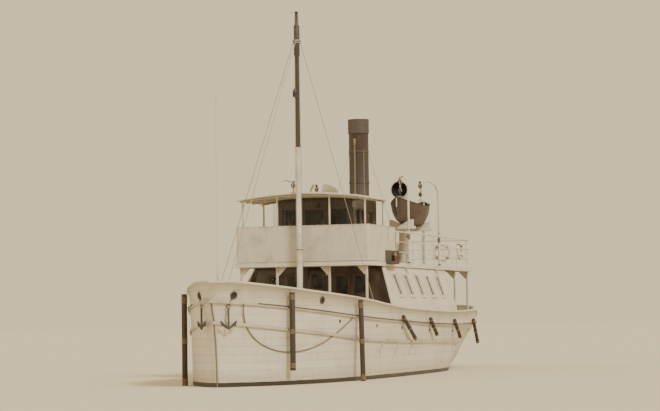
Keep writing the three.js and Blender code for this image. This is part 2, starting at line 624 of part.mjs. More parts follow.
const RAILING = { out: 2235, aft: 21330, rise: 1060, heights: [370, 720, 1060] };
const sideRun = railRun(at(BRIDGE.dodgerAft + 60, RAILING.out, UPPER_DECK.top),
  at(RAILING.aft - 60, RAILING.out, UPPER_DECK.top), 7, RAILING.rise, RAILING.heights);
node('upper_railing_port', sideRun, PAINT.white);
node('upper_railing_starboard', mirrored(sideRun), PAINT.white);
node('upper_railing_aft', railRun(at(RAILING.aft, -RAILING.out, UPPER_DECK.top),
  at(RAILING.aft, RAILING.out, UPPER_DECK.top), 5, RAILING.rise, RAILING.heights), PAINT.white);

// Bridge rail, its canvas dodger, the roof on its posts
function bridgeRail() {
  const { rail, half, dodgerAft } = BRIDGE;
  const top = UPPER_DECK.top;
  const rise = BRIDGE.dodgerTop - top - 40;
  const front = railRun(at(rail, -half, top), at(rail, half, top), 5, rise, [520, rise]);
  const side = railRun(at(rail, half, top), at(dodgerAft, half, top), 4, rise, [520, rise]);
  return join(front, side, mirrored(side));
}

function dodger() {
  const [outer, inner] = [BRIDGE.half + 66, BRIDGE.half + 50];
  const [fore, aft] = [BRIDGE.rail - 64, BRIDGE.dodgerAft];
  return planProfile([[fore, -outer], [aft, -outer], [aft, -inner], [fore + 16, -inner], [fore + 16, inner],
    [aft, inner], [aft, outer], [fore, outer]], UPPER_DECK.top + 20, BRIDGE.dodgerTop);
}

// Height of the crowned roof's top at a distance out
const roofUp = (out) => BRIDGE.roofTop + BRIDGE.crown * (1 - (out / BRIDGE.roofHalf) ** 2);

// Solid whose top follows the roof's crown, lowered by a drop, over a flat or an equally crowned foot
function underCrown(drop, foot, fore, aft) {
  const outs = [...Array(13).keys()].map((i) => BRIDGE.roofHalf * (i / 6 - 1));
  const top = outs.map((out) => [out, roofUp(out) - drop]);
  const bottom = outs.map((out) => [out, foot(out)]).reverse();
  return crossProfile([...top, ...bottom], fore, aft);
}

function bridgeRoof() {
  const { roofFore, roofAft, neckAft, neckHalf, roofHalf, roofTop, crown, roof } = BRIDGE;
  const portSide = [[roofFore, roofHalf], [roofAft, roofHalf], [roofAft, neckHalf], [neckAft, neckHalf]];
  const outline = planProfile([...portSide, ...portSide.map(([aft, out]) => [aft, -out]).reverse()],
    roofTop - 2 * roof, roofTop + crown + roof);
  const slab = underCrown(0, (out) => roofUp(out) - roof, roofFore, neckAft).intersect(outline);
  const foot = UPPER_DECK.top + CONTACT_GAP;
  const posts = [[8080, 2110], [8080, 900], [10150, 2110]].map(([aft, out]) => (
    rod(at(aft, out, foot), at(aft, out, roofUp(out) - roof / 2), 32, 8)
  ));
  return join(slab, ...posts, ...posts.map(mirrored));
}

node('bridge_rail', bridgeRail(), PAINT.white);
node('bridge_dodger', dodger(), PAINT.canvas, 0.9);
node('bridge_roof', bridgeRoof(), PAINT.white);

// Wheelhouse: four walls and a floor, windows all round, a doorway each side
function wheelhouse() {
  const { fore, aft, half, wall, sillUp, headUp } = WHEELHOUSE;
  const low = UPPER_DECK.top + CONTACT_GAP;
  const crest = BRIDGE.roofTop + BRIDGE.crown;
  const shell = block(fore, aft, -half, half, low, crest)
    .subtract(block(fore + wall, aft - wall, -half + wall, half - wall, low + 40, crest + 10))
    .intersect(underCrown(BRIDGE.roof + CONTACT_GAP, () => low - 10, fore - 10, aft + 10));
  const front = [-800, 0, 800].map((out) => (
    block(fore - 10, fore + wall + 10, out - 330, out + 330, sillUp, headUp)
  ));
  const back = [-660, 660].map((out) => (
    block(aft - wall - 10, aft + 10, out - 360, out + 360, sillUp, headUp)
  ));
  const sides = [fore + 450, fore + 1250].map((where) => (
    block(where - 320, where + 320, -half - 10, half + 10, sillUp, headUp)
  ));
  const doorway = block(WHEELHOUSE_DOOR.fore, WHEELHOUSE_DOOR.aft, -half - 10, half + 10, WHEELHOUSE_DOOR.low,
    WHEELHOUSE_DOOR.high);
  const open = [...front, ...back, ...sides, doorway].reduce((solid, hole) => solid.subtract(hole), shell);
  const pedestal = block(HELM.post, HELM.post + HELM.postLong, -130, 130, low + 30, HELM.up + 130);
  return join(open, pedestal);
}

function wheelhouseDoor() {
  const { fore, aft, low, high } = WHEELHOUSE_DOOR;
  const gap = DOOR.gap;
  const { half, sillUp, headUp } = WHEELHOUSE;
  const leaf = block(fore + gap, aft - gap, half - DOOR.thick, half, low + gap, high - gap);
  return leaf.subtract(block(fore + 130, aft - 130, half - 100, half + 100, sillUp + 30, headUp - 40));
}

// Steering wheel: rim, eight spokes with handles, and a hub on a short spindle
function helm() {
  const rim = new THREE.TorusGeometry(HELM.radius - 90, 26, 4, 16);
  rim.rotateY(Math.PI / 2);
  const spokes = [...Array(4).keys()].map((i) => {
    const angle = (Math.PI * i) / 4;
    const tip = new THREE.Vector3(0, HELM.radius * Math.cos(angle), HELM.radius * Math.sin(angle));
    return rod(tip, tip.clone().negate(), 15, 4);
  });
  const hubEnd = 32 - (HELM.post - HELM.aft);
  const hub = rod(new THREE.Vector3(hubEnd, 0, 0), new THREE.Vector3(40, 0, 0), 60, 8);
  return join(solidOf(rim), ...spokes, hub).translate([STEM_X - HELM.aft - 30, 0, HELM.up]);
}

node('wheelhouse', wheelhouse(), PAINT.varnish);
const wheelhouseDoorPort = node('wheelhouse_door_port', wheelhouseDoor(), PAINT.varnish);
node('wheelhouse_door_starboard', mirrored(wheelhouseDoorPort), PAINT.varnish);
node('steering_wheel', helm(), PAINT.varnish);

// Funnel, whistle and cowl ventilators
function funnel() {
  const { aft, radius, wall, top, cap, capHigh, bore } = FUNNEL;
  const foot = CASING.top + CONTACT_GAP;
  return turned(aft, 0, [[0, foot], [radius + 60, foot], [radius + 60, foot + 60], [radius, foot + 90],
    [radius, top - capHigh], [cap, top - capHigh + 20], [cap, top], [radius - wall, top],
    [radius - wall, top - bore], [0, top - bore]], 24);
}

function whistle() {
  const { aft, top, radius } = WHISTLE;
  const foot = CASING.top + CONTACT_GAP;
  return turned(aft, 0, [[0, foot], [60, foot], [60, foot + 25], [radius, foot + 40], [radius, top - 260],
    [48, top - 240], [48, top - 30], [20, top], [0, top]], 12);
}

node('funnel', funnel(), METAL.funnel);
node('steam_whistle', whistle(), METAL.bronze, 0.4, 0.9);

// Cowl: pipe that bends forward into a bell mouth, hollow behind the lip
function cowl() {
  const { pipe, mouth, up, reach, coaming } = COWL;
  const foot = UPPER_DECK.top + coaming + 10;
  const bend = 300;
  const spine = [[0, foot, 90, pipe], [0, up - 420, 90, pipe]];
  [75, 50, 25, 0].forEach((angle, i) => {
    const turn = THREE.MathUtils.degToRad(angle);
    const swell = pipe + (mouth - pipe) * [0.1, 0.3, 0.6, 0.88][i];
    spine.push([bend * (1 - Math.sin(turn)), up - bend * 0.75 + bend * 0.75 * Math.cos(turn), angle, swell]);
  });
  spine.push([reach, up, 0, mouth]);
  const ring = ([forward, height, angle, radius]) => [...Array(16).keys()].map((k) => {
    const spin = (2 * Math.PI * k) / 16;
    const turn = THREE.MathUtils.degToRad(angle);
    const [side, rise] = [radius * Math.cos(spin), radius * Math.sin(spin)];
    return new THREE.Vector3(forward - rise * Math.sin(turn), side, height + rise * Math.cos(turn));
  });
  const outside = spine.map(ring);
  const inside = spine.slice(2).reverse().map(([f, h, a, r]) => ring([f - 4, h, a, r - 22]));
  return loft([...outside, ...inside]);
}

// Fixed collar that a cowl turns on
function cowlBase(out) {
  const low = UPPER_DECK.top - 20;
  const high = UPPER_DECK.top + COWL.coaming;
  return turned(COWL.aft, out, [[0, low], [COWL.pipe + 55, low], [COWL.pipe + 55, low + 45],
    [COWL.pipe + 18, low + 60], [COWL.pipe + 18, high], [0, high]], 16);
}

const cowlShape = cowl();
const cowlX = STEM_X - COWL.aft;
node('cowl_port', cowlShape.translate([cowlX, COWL.out, 0]), PAINT.white);
node('cowl_starboard', cowlShape.rotate([0, 0, -100]).translate([cowlX, -COWL.out, 0]), PAINT.white);

// Engine skylight on the casing, with a sloping lid each side of its ridge
const SKYLIGHT = { fore: 15500, aft: 16450, half: 420, low: 220, ridge: 400, lid: 30 };

function skylight() {
  const base = CASING.top + CONTACT_GAP;
  const { half, low, ridge } = SKYLIGHT;
  const outline = [[-half, base], [half, base], [half, base + low], [40, base + ridge], [-40, base + ridge],
    [-half, base + low]];
  return crossProfile(outline, SKYLIGHT.fore, SKYLIGHT.aft);
}

function skylightLid() {
  const base = CASING.top + CONTACT_GAP + 6;
  const { half, low, ridge, lid } = SKYLIGHT;
  const eave = base + low - 18;
  const crest = base + ridge;
  const outline = [[half + 60, eave], [half + 60, eave + lid], [46, crest + lid], [46, crest + 4]];
  return crossProfile(outline, SKYLIGHT.fore - 30, SKYLIGHT.aft + 30);
}

node('engine_skylight', skylight(), PAINT.varnish);
const lidPort = node('skylight_lid_port', skylightLid(), PAINT.varnish);
node('skylight_lid_starboard', mirrored(lidPort), PAINT.varnish);

// Masts and the main stays
const mastFoot = sheer(MAST.aft) + 20;
const mast = turned(MAST.aft, 0, [[0, mastFoot], [MAST.foot + 40, mastFoot], [MAST.foot + 40, mastFoot + 90],
  [MAST.foot, mastFoot + 100], [MAST.foot - 8, 7600], [66, MAST.houndsLow - 80],
  [MAST.hounds, MAST.houndsLow], [MAST.hounds, MAST.houndsHigh], [54, MAST.houndsHigh + 70],
  [MAST.tip, MAST.top - 60], [70, MAST.top - 50], [70, MAST.top - 20], [0, MAST.top]], 16);
node('mast', standing(mast, deck), PAINT.varnish);

function stays() {
  const [inner, outer, half] = [MAST.hounds + 4, MAST.hounds + 34, 60];
  const eye = (inner + outer) / 2;
  const band = turned(MAST.aft, 0, [[inner, MAST.stayUp - half], [outer, MAST.stayUp - half],
    [outer, MAST.stayUp + half], [inner, MAST.stayUp + half], [inner, MAST.stayUp - half]], 12);
  const from = (dx, dy) => new THREE.Vector3(STEM_X - MAST.aft + dx, dy, MAST.stayUp);
  const forestay = rod(from(eye, 0), at(620, 0, sheer(620) + DECK_PLANKS + 12), 10, 4);
  const foot = at(SHROUD.aft, SHROUD.out, railTop(SHROUD.aft) + 12);
  const shroud = rod(from(10, eye), foot, 10, 4);
  return join(band, forestay, shroud, mirrored(shroud));
}

node('mast_stays', stays(), METAL.wire);

const jackFoot = at(JACKSTAFF.aft, 0, sheer(0));
node('jackstaff', standing(rod(jackFoot, at(JACKSTAFF.aft, 0, JACKSTAFF.top), JACKSTAFF.radius, 8, 20), deck),
  PAINT.white);
const ensignFoot = at(ENSIGN.aft, 0, sheer(ENSIGN.aft));
const ensignStaff = rod(ensignFoot, at(ENSIGN.aft + ENSIGN.rake, 0, ENSIGN.top), ENSIGN.radius, 12, 14);
node('ensign_staff', standing(ensignStaff, deck), PAINT.white);

// Lifeboats on two skid beams
function boatBody(inset) {
  const { fore, aft, half, keel, sheer: gunwale, endRise } = BOAT;
  const long = aft - fore;
  const rings = [...Array(9).keys()].map((i) => {
    const share = i / 8;
    const along = 2 * share - 1;
    const width = Math.max((half - inset) * (1 - Math.abs(along) ** 2.4), 26 - inset * 0.5);
    const rise = gunwale + endRise * along ** 2;
    const floor = keel + inset * 2 + 150 * Math.abs(along) ** 4;
    const where = fore + inset * 3 + (long - inset * 6) * share;
    const side = [0, 0.25, 0.5, 0.75, 1].map((step) => {
      const angle = (Math.PI / 2) * step;
      return [width * Math.sin(angle) ** 0.9, rise + (floor - rise) * Math.cos(angle) ** 1.2];
    });
    const top = inset > 0 ? [[width, rise + 60]] : [];
    const port = [...side, ...top];
    const starboard = port.map(([out, up]) => [-out, up]).reverse().slice(0, -1);
    return [...port, ...starboard].map(([out, up]) => at(where, out, up));
  });
  return loft(rings);
}

function lifeboat() {
  const shell = boatBody(0).subtract(boatBody(BOAT.wall));
  const keelBar = block(BOAT.fore + 450, BOAT.aft - 450, -25, 25, BOAT.keel - 45, BOAT.keel + 30);
  const inside = boatBody(BOAT.wall - 8);
  const thwarts = [-950, 0, 950].map((step) => {
    const aft = (BOAT.fore + BOAT.aft) / 2 + step;
    const plank = block(aft - 110, aft + 110, -BOAT.half, BOAT.half, BOAT.thwart, BOAT.thwart + 30);
    return plank.intersect(inside);
  });
  return join(shell, keelBar, ...thwarts);
}

const boatShape = lifeboat();
node('lifeboat_port', boatShape.translate([0, BOAT.out, 0]), PAINT.white);
node('lifeboat_starboard', boatShape.translate([0, -BOAT.out, 0]), PAINT.white);

function skid(aft) {
  const { up, high, thick } = SKID;
  const beam = block(aft - thick / 2, aft + thick / 2, -SKID.half, SKID.half, up, up + high);
  const legs = [-2120, -1080, 1080, 2120].map((out) => block(aft - 40, aft + 40, out - 40, out + 40,
    UPPER_DECK.top + CONTACT_GAP, up + 20));
  const chocks = [1, -1].map((side) => {
    const mid = side * BOAT.out;
    const outline = [[mid - 430, up + 60], [mid + 430, up + 60], [mid + 430, up + 330], [mid + 330, up + 330],
      [mid, up + 60 + high], [mid - 330, up + 330], [mid - 430, up + 330]];
    return crossProfile(outline, aft - 35, aft + 35);
  });
  const boats = [1, -1].map((side) => boatShape.translate([0, side * BOAT.out, -CONTACT_GAP]));
  return join(beam, ...legs, ...chocks).subtract(join(...boats));
}

SKID.aft.forEach((aft, i) => node(['boat_skid_fore', 'boat_skid_aft'][i], skid(aft), PAINT.white));

// Davits: post at the deck's edge, bent over towards the boat, with its tackle hanging from the head
function davit(side, post, hook) {
  const base = at(post, side * DAVIT.out, DAVIT.foot);
  const target = at(hook, side * BOAT.out, 0);
  const flat = new THREE.Vector3(target.x - base.x, target.y - base.y, 0);
  const reach = flat.length();
  flat.normalize();
  const { shoulder, head: crest } = DAVIT;
  const knees = [[0, DAVIT.foot], [0, shoulder], [0.1, crest - 200], [0.35, crest - 30], [0.7, crest],
    [1, crest - 70]];
  const points = knees.map(([share, up]) => {
    const point = base.clone().addScaledVector(flat, share * reach);
    point.z = up;
    return point;
  });
  const section = new THREE.Shape([...Array(6).keys()].map((k) => new THREE.Vector2(
    DAVIT.radius * Math.cos((Math.PI * k) / 3), DAVIT.radius * Math.sin((Math.PI * k) / 3),
  )));
  const extrudePath = new THREE.CatmullRomCurve3(points, false, 'catmullrom', 0.35);
  const tube = new THREE.ExtrudeGeometry(section, { steps: 10, bevelEnabled: false, extrudePath });
  const head = points[points.length - 1];
  const hang = (up) => new THREE.Vector3(head.x, head.y, up);
  const blocks = [[crest - 120, crest - 270, 52], [crest - 440, crest - 570, 46]].map(([top, low, r]) => (
    rod(hang(low), hang(top), r, 6)
  ));
  const fall = rod(hang(crest - 610), hang(crest - 90), 16, 6);
  return join(solidOf(tube), ...blocks, fall);
}

DAVITS.forEach(([name, side, post, hook]) => node(name, davit(side, post, hook), PAINT.white));

// Fenders hung from a line above the upper rubbing rail
function fenders(bowFoot) {
  const line = planPath(SIDE_STATIONS.filter((aft) => aft >= 950 && aft <= 24000),
    (aft) => halfWidth(aft, upperRub(aft)), upperRub).port;
  const wire = sweepPlan(line, (point) => {
    const [near, far] = [RUB.out + 3, RUB.out + 23];
    return [[near, point.z + 10], [far, point.z + 10], [far, point.z + 30], [near, point.z + 30]];
  }, false);
  const { aft: bowAft, top: bowTop, radius: bowRadius } = BOW_FENDER;
  const rows = [[bowAft, bowAft, bowTop, bowFoot, bowRadius], ...FENDERS];
  const logs = rows.flatMap(([topAft, footAft, top, foot, radius]) => {
    const clear = RUB.out + radius + 12;
    const out = (aft) => halfWidth(aft, Math.min(upperRub(aft), top)) + clear;
    const hang = Math.max(out(topAft + 2 * radius), out(footAft + 2 * radius), out(topAft));
    const log = rod(at(topAft, hang, top), at(footAft, hang, foot), radius, 8);
    const share = THREE.MathUtils.clamp((top - upperRub(topAft) - 20) / (top - foot), 0, 1);
    const grip = at(topAft + (footAft - topAft) * share, hang, top + (foot - top) * share);
    const gripAft = STEM_X - grip.x;
    const eye = at(gripAft, halfWidth(gripAft, upperRub(gripAft)) + RUB.out + 15, upperRub(gripAft) + 20);
    return [log, rod(eye, grip, 12, 4)];
  });
  return join(wire, ...logs).subtract(railCutter).subtract(hullCutter);
}

node('fenders_port', fenders(BOW_FENDER.portFoot), PAINT.dark);
node('fenders_starboard', mirrored(fenders(BOW_FENDER.starboardFoot)), PAINT.dark);

// Foredeck gear: windlass on its bitts, hatch, anchors
const WINDLASS = { aft: 2500, up: 460, drum: 110, drumHalf: 430, cheek: 480, headFrom: 540, headTo: 750,
  shaftHalf: 760, shaft: 38, bore: 46, bittHigh: 700 };

function windlassFrame() {
  const { aft, up, cheek, bittHigh, bore, headTo } = WINDLASS;
  const base = sheer(aft);
  const foot = base - 20;
  const cheeks = [1, -1].map((side) => (
    block(aft - 90, aft + 90, side * cheek - 40, side * cheek + 40, foot, base + up + 160)
  ));
  const sole = block(aft - 160, aft + 160, -cheek - 160, cheek + 160, foot, base + 110);
  const bitt = block(aft - 420, aft - 260, -80, 80, foot, base + bittHigh);
  const bridge = block(aft - 330, aft, -60, 60, foot, base + 110);
  const hole = rod(at(aft, -headTo, base + up), at(aft, headTo, base + up), bore, 16);
  return standing(join(...cheeks, sole, bitt, bridge).subtract(hole), deck);
}

function windlassBarrel() {
  const { aft, drum, drumHalf, headFrom, headTo, shaft, shaftHalf } = WINDLASS;
  const up = sheer(aft) + WINDLASS.up;
  const axle = rod(at(aft, -shaftHalf, up), at(aft, shaftHalf, up), shaft, 12);
  const barrel = rod(at(aft, -drumHalf, up), at(aft, drumHalf, up), drum, 12);
  const heads = [1, -1].map((side) => (
    rod(at(aft, side * headFrom, up), at(aft, side * headTo, up), 85, 12, 105)
  ));
  return join(axle, barrel, ...heads);
}

node('windlass_bitts', windlassFrame(), METAL.iron);
node('windlass_barrel', windlassBarrel(), METAL.iron);

const HATCH = { fore: 4700, aft: 5600, half: 470, high: 330, wall: 50, lid: 45 };

function hatchCoaming() {
  const up = sheer(HATCH.fore);
  return standing(block(HATCH.fore, HATCH.aft, -HATCH.half, HATCH.half, up - 120, up + HATCH.high)
    .subtract(block(HATCH.fore + HATCH.wall, HATCH.aft - HATCH.wall, -HATCH.half + HATCH.wall,
      HATCH.half - HATCH.wall, up - 200, up + HATCH.high + 10)), deck);
}

node('fore_hatch', hatchCoaming(), PAINT.varnish);
node('fore_hatch_lid', block(HATCH.fore - 20, HATCH.aft + 20, -HATCH.half - 20, HATCH.half + 20,
  sheer(HATCH.fore) + HATCH.high + 6, sheer(HATCH.fore) + HATCH.high + 6 + HATCH.lid), PAINT.varnish);

// Anchor hung at the bow: shank, arms with palms, ring
const ANCHOR = { aft: -130, out: 420, up: 2240, shank: 560, arm: 230, ring: 60 };

function anchor() {
  const { shank: drop, arm, ring: radius } = ANCHOR;
  const point = (across, up) => new THREE.Vector3(across, 0, up);
  const shank = rod(point(0, -drop), point(0, radius), 32, 6);
  const arms = [1, -1].map((side) => rod(point(0, 20 - drop), point(side * arm, 190 - drop), 34, 4));
  const palms = [1, -1].map((side) => (
    rod(point(side * (arm - 60), 120 - drop), point(side * (arm + 25), 250 - drop), 62, 4, 20)
  ));
  const ring = new THREE.TorusGeometry(radius, 14, 4, 8);
  ring.rotateX(Math.PI / 2);
  ring.translate(0, 0, radius + 45);
  const link = rod(point(0, radius - 20), point(0, radius + 2), 22, 6);
  return join(shank, ...arms, ...palms, solidOf(ring), link);
}

const anchorPlace = at(ANCHOR.aft, ANCHOR.out, ANCHOR.up);
const anchorShape = anchor().rotate([0, 0, -45]).translate([anchorPlace.x, anchorPlace.y, anchorPlace.z]);
node('anchor_port', anchorShape, METAL.iron);
node('anchor_starboard', mirrored(anchorShape), METAL.iron);

// Benches, lamp boards
const BENCH = { fore: 17000, aft: 19600, half: 330, seat: 400, back: 880 };
const LAMP_BOARD = { fore: 9750, aft: 10650, wide: 210, floor: 3820, top: 4190 };

function upperBench() {
  const { fore, aft, half, seat, back: crest } = BENCH;
  const low = UPPER_DECK.top + CONTACT_GAP;
  const seats = block(fore, aft, -half, half, low + seat, low + seat + 40);
  const rest = [[-60, low + seat + 30], [60, low + seat + 30], [25, low + crest], [-25, low + crest]];
  const back = crossProfile(rest, fore, aft);
  const legs = [fore + 100, (fore + aft) / 2, aft - 100].map((where) => (
    block(where - 25, where + 25, 30 - half, half - 30, low, low + seat + 10)
  ));
  return join(seats, back, ...legs);
}

node('upper_deck_bench', upperBench(), PAINT.varnish);

function lampBoard() {
  const { fore, aft, wide, floor, top } = LAMP_BOARD;
  const near = UPPER_DECK.half + CONTACT_GAP;
  const board = block(fore, aft, near, near + 25, floor, top);
  const shelf = block(fore, aft, near, near + wide, floor - 90, floor);
  const back = block(aft - 25, aft, near, near + wide, floor, top);
  const lamp = turned(aft - 170, near + 110, [[0, floor], [75, floor], [75, floor + 210], [30, floor + 270],
    [0, floor + 270]], 12);
  return join(board, shelf, back, lamp);
}

const lampPort = node('sidelight_port', lampBoard(), PAINT.dark);
node('sidelight_starboard', mirrored(lampPort), PAINT.dark);

export default group;
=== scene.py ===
"""Lake passenger steamer: its finishes and fine pieces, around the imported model.

Metres, +X towards the bow, +Y to port, +Z up, with the load waterline at height zero.
"""
import logging
import math
from collections.abc import Callable, Iterable, Sequence
from dataclasses import dataclass, replace
from enum import Enum
from functools import partial

import bpy
from mathutils import Matrix, Vector
from mathutils.bvhtree import BVHTree


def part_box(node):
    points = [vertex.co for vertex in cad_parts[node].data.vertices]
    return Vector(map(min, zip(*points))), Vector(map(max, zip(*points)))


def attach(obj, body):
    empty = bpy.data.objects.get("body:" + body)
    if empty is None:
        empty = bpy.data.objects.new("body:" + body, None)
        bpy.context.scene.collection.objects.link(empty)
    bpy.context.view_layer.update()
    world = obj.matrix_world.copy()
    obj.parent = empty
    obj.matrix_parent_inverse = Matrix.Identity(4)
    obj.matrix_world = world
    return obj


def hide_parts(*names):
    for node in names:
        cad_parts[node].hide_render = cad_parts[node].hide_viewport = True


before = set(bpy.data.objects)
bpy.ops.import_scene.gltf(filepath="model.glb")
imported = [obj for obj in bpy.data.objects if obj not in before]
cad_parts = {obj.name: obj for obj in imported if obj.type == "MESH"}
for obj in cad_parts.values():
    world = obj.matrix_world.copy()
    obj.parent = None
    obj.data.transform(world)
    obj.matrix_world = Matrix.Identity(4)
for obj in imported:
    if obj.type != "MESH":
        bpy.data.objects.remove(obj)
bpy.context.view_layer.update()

LOG = logging.getLogger("steamer")
Point = tuple[float, float, float]
Flat = tuple[float, float]
Colour = tuple[float, float, float]
Piece = bpy.types.Object

WHITE = (0.66, 0.60, 0.48)
GREY = (0.40, 0.34, 0.26)
TEAK = (0.040, 0.022, 0.013)
TEAK_WORN = (0.095, 0.055, 0.032)
UP = (0, 0, 1)


class Axis(Enum):
    """Direction that boards or grain run in."""

    X = 0
    Y = 1
    Z = 2


def _maths(operation: str, swapped: bool = False) -> Callable[..., "Socket"]:
    """Makes a method that puts a socket and another value through a Math node.

    Args:
        operation: kind of the node.
        swapped: whether the other value comes first.

    Returns:
        The method.
    """

    def method(self: "Socket", other: "Socket | float" = 0.0) -> "Socket":
        first, second = (other, self) if swapped else (self, other)
        return self.shader.maths(operation, first, second)

    return method


class Socket:
    """Output of a shader node that takes part in sums written in Python."""

    __add__ = _maths("ADD")
    __sub__ = _maths("SUBTRACT")
    __rsub__ = _maths("SUBTRACT", swapped=True)
    __mul__ = _maths("MULTIPLY")
    __truediv__ = _maths("DIVIDE")
    __gt__ = _maths("GREATER_THAN")
    fraction = _maths("FRACT")
    whole = _maths("FLOOR")
    size = _maths("ABSOLUTE")
    least = _maths("MINIMUM")
    most = _maths("MAXIMUM")

    def __init__(self, shader: "Shader", output: bpy.types.NodeSocket) -> None:
        """Keeps the output and the shader that it belongs to."""
        self.shader = shader
        self.output = output

    def ramp(self, low: float, high: float) -> "Socket":
        """Value that is 0 below low and 1 above high, and smooth between them."""
        node = self.shader.add("ShaderNodeMapRange", {"interpolation_type": "SMOOTHSTEP"},
                               {"Value": self, "From Min": low, "From Max": high})
        return Socket(self.shader, node.outputs["Result"])


class Shader:
    """Node tree of one material."""

    def __init__(self, name: str) -> None:
        """Starts a material with a Principled surface."""
        self.material = bpy.data.materials.new(name)
        self.material.use_nodes = True
        self.tree = self.material.node_tree
        self.surface = self.tree.nodes["Principled BSDF"]

    def add(self, kind: str, settings: dict | None = None,
            sockets: dict | None = None) -> bpy.types.Node:
        """Adds a node.

        Args:
            kind: type of the node.
            settings: its properties, and "stops" for a colour ramp.
            sockets: values or Sockets of its inputs, by name or number.

        Returns:
            The node.
        """
        node = self.tree.nodes.new(kind)
        for key, value in (settings or {}).items():
            setattr(node, key, value)
        for key, value in (sockets or {}).items():
            self.feed(node.inputs[key], value)
        return node

    def feed(self, target: bpy.types.NodeSocket, value: object) -> None:
        """Sets an input to a value, or links it to a Socket."""
        if isinstance(value, Socket):
            self.tree.links.new(value.output, target)
        elif isinstance(value, tuple) and target.type == "RGBA":
            target.default_value = (*value[:3], 1.0)
        else:
            target.default_value = value

    def maths(self, operation: str, first: object, second: object) -> Socket:
        """Result of a Math node."""
        node = self.add("ShaderNodeMath", {"operation": operation}, {0: first, 1: second})
        return Socket(self, node.outputs[0])

    def place(self) -> Socket:
        """Place on the boat, in metres."""
        return Socket(self, self.add("ShaderNodeTexCoord").outputs["Object"])

    def axes(self, place: Socket) -> tuple[Socket, Socket, Socket]:
        """The three coordinates of a place."""
        node = self.add("ShaderNodeSeparateXYZ", None, {0: place})
        return tuple(Socket(self, output) for output in node.outputs)

    def stretched(self, place: Socket, scale: Point) -> Socket:
        """Place with its coordinates multiplied."""
        node = self.add("ShaderNodeMapping", None, {"Vector": place, "Scale": Vector(scale)})
        return Socket(self, node.outputs[0])

    def noise(self, place: Socket, scale: float, detail: float = 4.0,
              rough: float = 0.55) -> Socket:
        """Cloudy value about 0.5.

        Args:
            place: coordinates that it reads.
            scale: clouds per metre.
            detail: finer layers.
            rough: strength of the finer layers.

        Returns:
            The value's socket.
        """
        node = self.add("ShaderNodeTexNoise", None,
                        {"Vector": place, "Scale": scale, "Detail": detail, "Roughness": rough})
        return Socket(self, node.outputs[0])

    def scatter(self, first: Socket, second: Socket | float) -> Socket:
        """A random value for each pair of whole numbers."""
        pair = self.add("ShaderNodeCombineXYZ", None, {0: first, 1: second})
        node = self.add("ShaderNodeTexWhiteNoise", {"noise_dimensions": "2D"},
                        {"Vector": Socket(self, pair.outputs[0])})
        return Socket(self, node.outputs["Value"])

    def mixed(self, share: Socket | float, first: object, second: object) -> Socket:
        """Colour between two colours."""
        node = self.add("ShaderNodeMix", {"data_type": "RGBA"}, {0: share, 6: first, 7: second})
        return Socket(self, node.outputs[2])

    def finish(self, colour: object, roughness: object, height: Socket | None = None,
               depth: float = 0.002) -> None:
        """Links what varies to the surface.

        Args:
            colour: base colour.
            roughness: roughness.
            height: relief from 0 to 1.
            depth: metres that a relief of 1 stands up.
        """
        self.feed(self.surface.inputs["Base Color"], colour)
        self.feed(self.surface.inputs["Roughness"], roughness)
        if height is not None:
            bump = self.add("ShaderNodeBump", None,
                            {"Height": height, "Distance": depth, "Strength": 0.6})
            self.feed(self.surface.inputs["Normal"], Socket(self, bump.outputs[0]))


@dataclass(frozen=True)
class Finish:
    """A surface finish; one material is made for each."""

    name: str
    slot: str
    colour: Colour
    worn: Colour
    roughness: float = 0.5

    def material(self) -> bpy.types.Material:
        """The finish's material, made once."""
        found = bpy.data.materials.get(self.name)
        if found:
            return found
        shader = Shader(self.name)
        self.build(shader)
        return shader.material

    def build(self, shader: Shader) -> None:
        """Makes the surface."""
        raise NotImplementedError


@dataclass(frozen=True)
class Paint(Finish):
    """Oil paint: brush marks, grime in patches, and board seams where it covers boards."""

    boards: Axis | None = None
    pitch: float = 0.12
    streaks: float = 0.35
    grime: float = 0.5

    def ground(self, shader: Shader, place: Socket) -> object:
        """Colour before grime."""
        return self.colour

    def stain(self, shader: Shader, place: Socket) -> object:
        """Colour of grime and seams."""
        return self.worn

    def build(self, shader: Shader) -> None:
        """Makes the surface."""
        place = shader.place()
        axes = shader.axes(place)
        patches = shader.noise(place, 1.3, 6.0, 0.6).ramp(0.42, 0.75)
        runs = shader.noise(shader.stretched(place, (5.0, 5.0, 0.35)), 1.6, 5.0).ramp(0.5, 0.8)
        specks = shader.noise(place, 38.0, 3.0).ramp(0.66, 0.78)
        dirt = (patches * self.grime + runs * self.streaks + specks * 0.25).least(1.0)
        relief = shader.noise(shader.stretched(place, (6.0, 6.0, 1.0)), 30.0, 3.0) * 0.35
        if self.boards is not None:
            share = (axes[self.boards.value] / self.pitch).fraction()
            seam = 1 - (share - 0.5).size().ramp(0.44, 0.495)
            board = shader.scatter((axes[self.boards.value] / self.pitch).whole(), 0.0)
            dirt = (dirt + (1 - seam) * 0.55 + board * 0.10).least(1.0)
            relief = relief + seam
        shader.finish(shader.mixed(dirt, self.ground(shader, place), self.stain(shader, place)),
                      dirt * 0.25 + self.roughness, relief, 0.003)


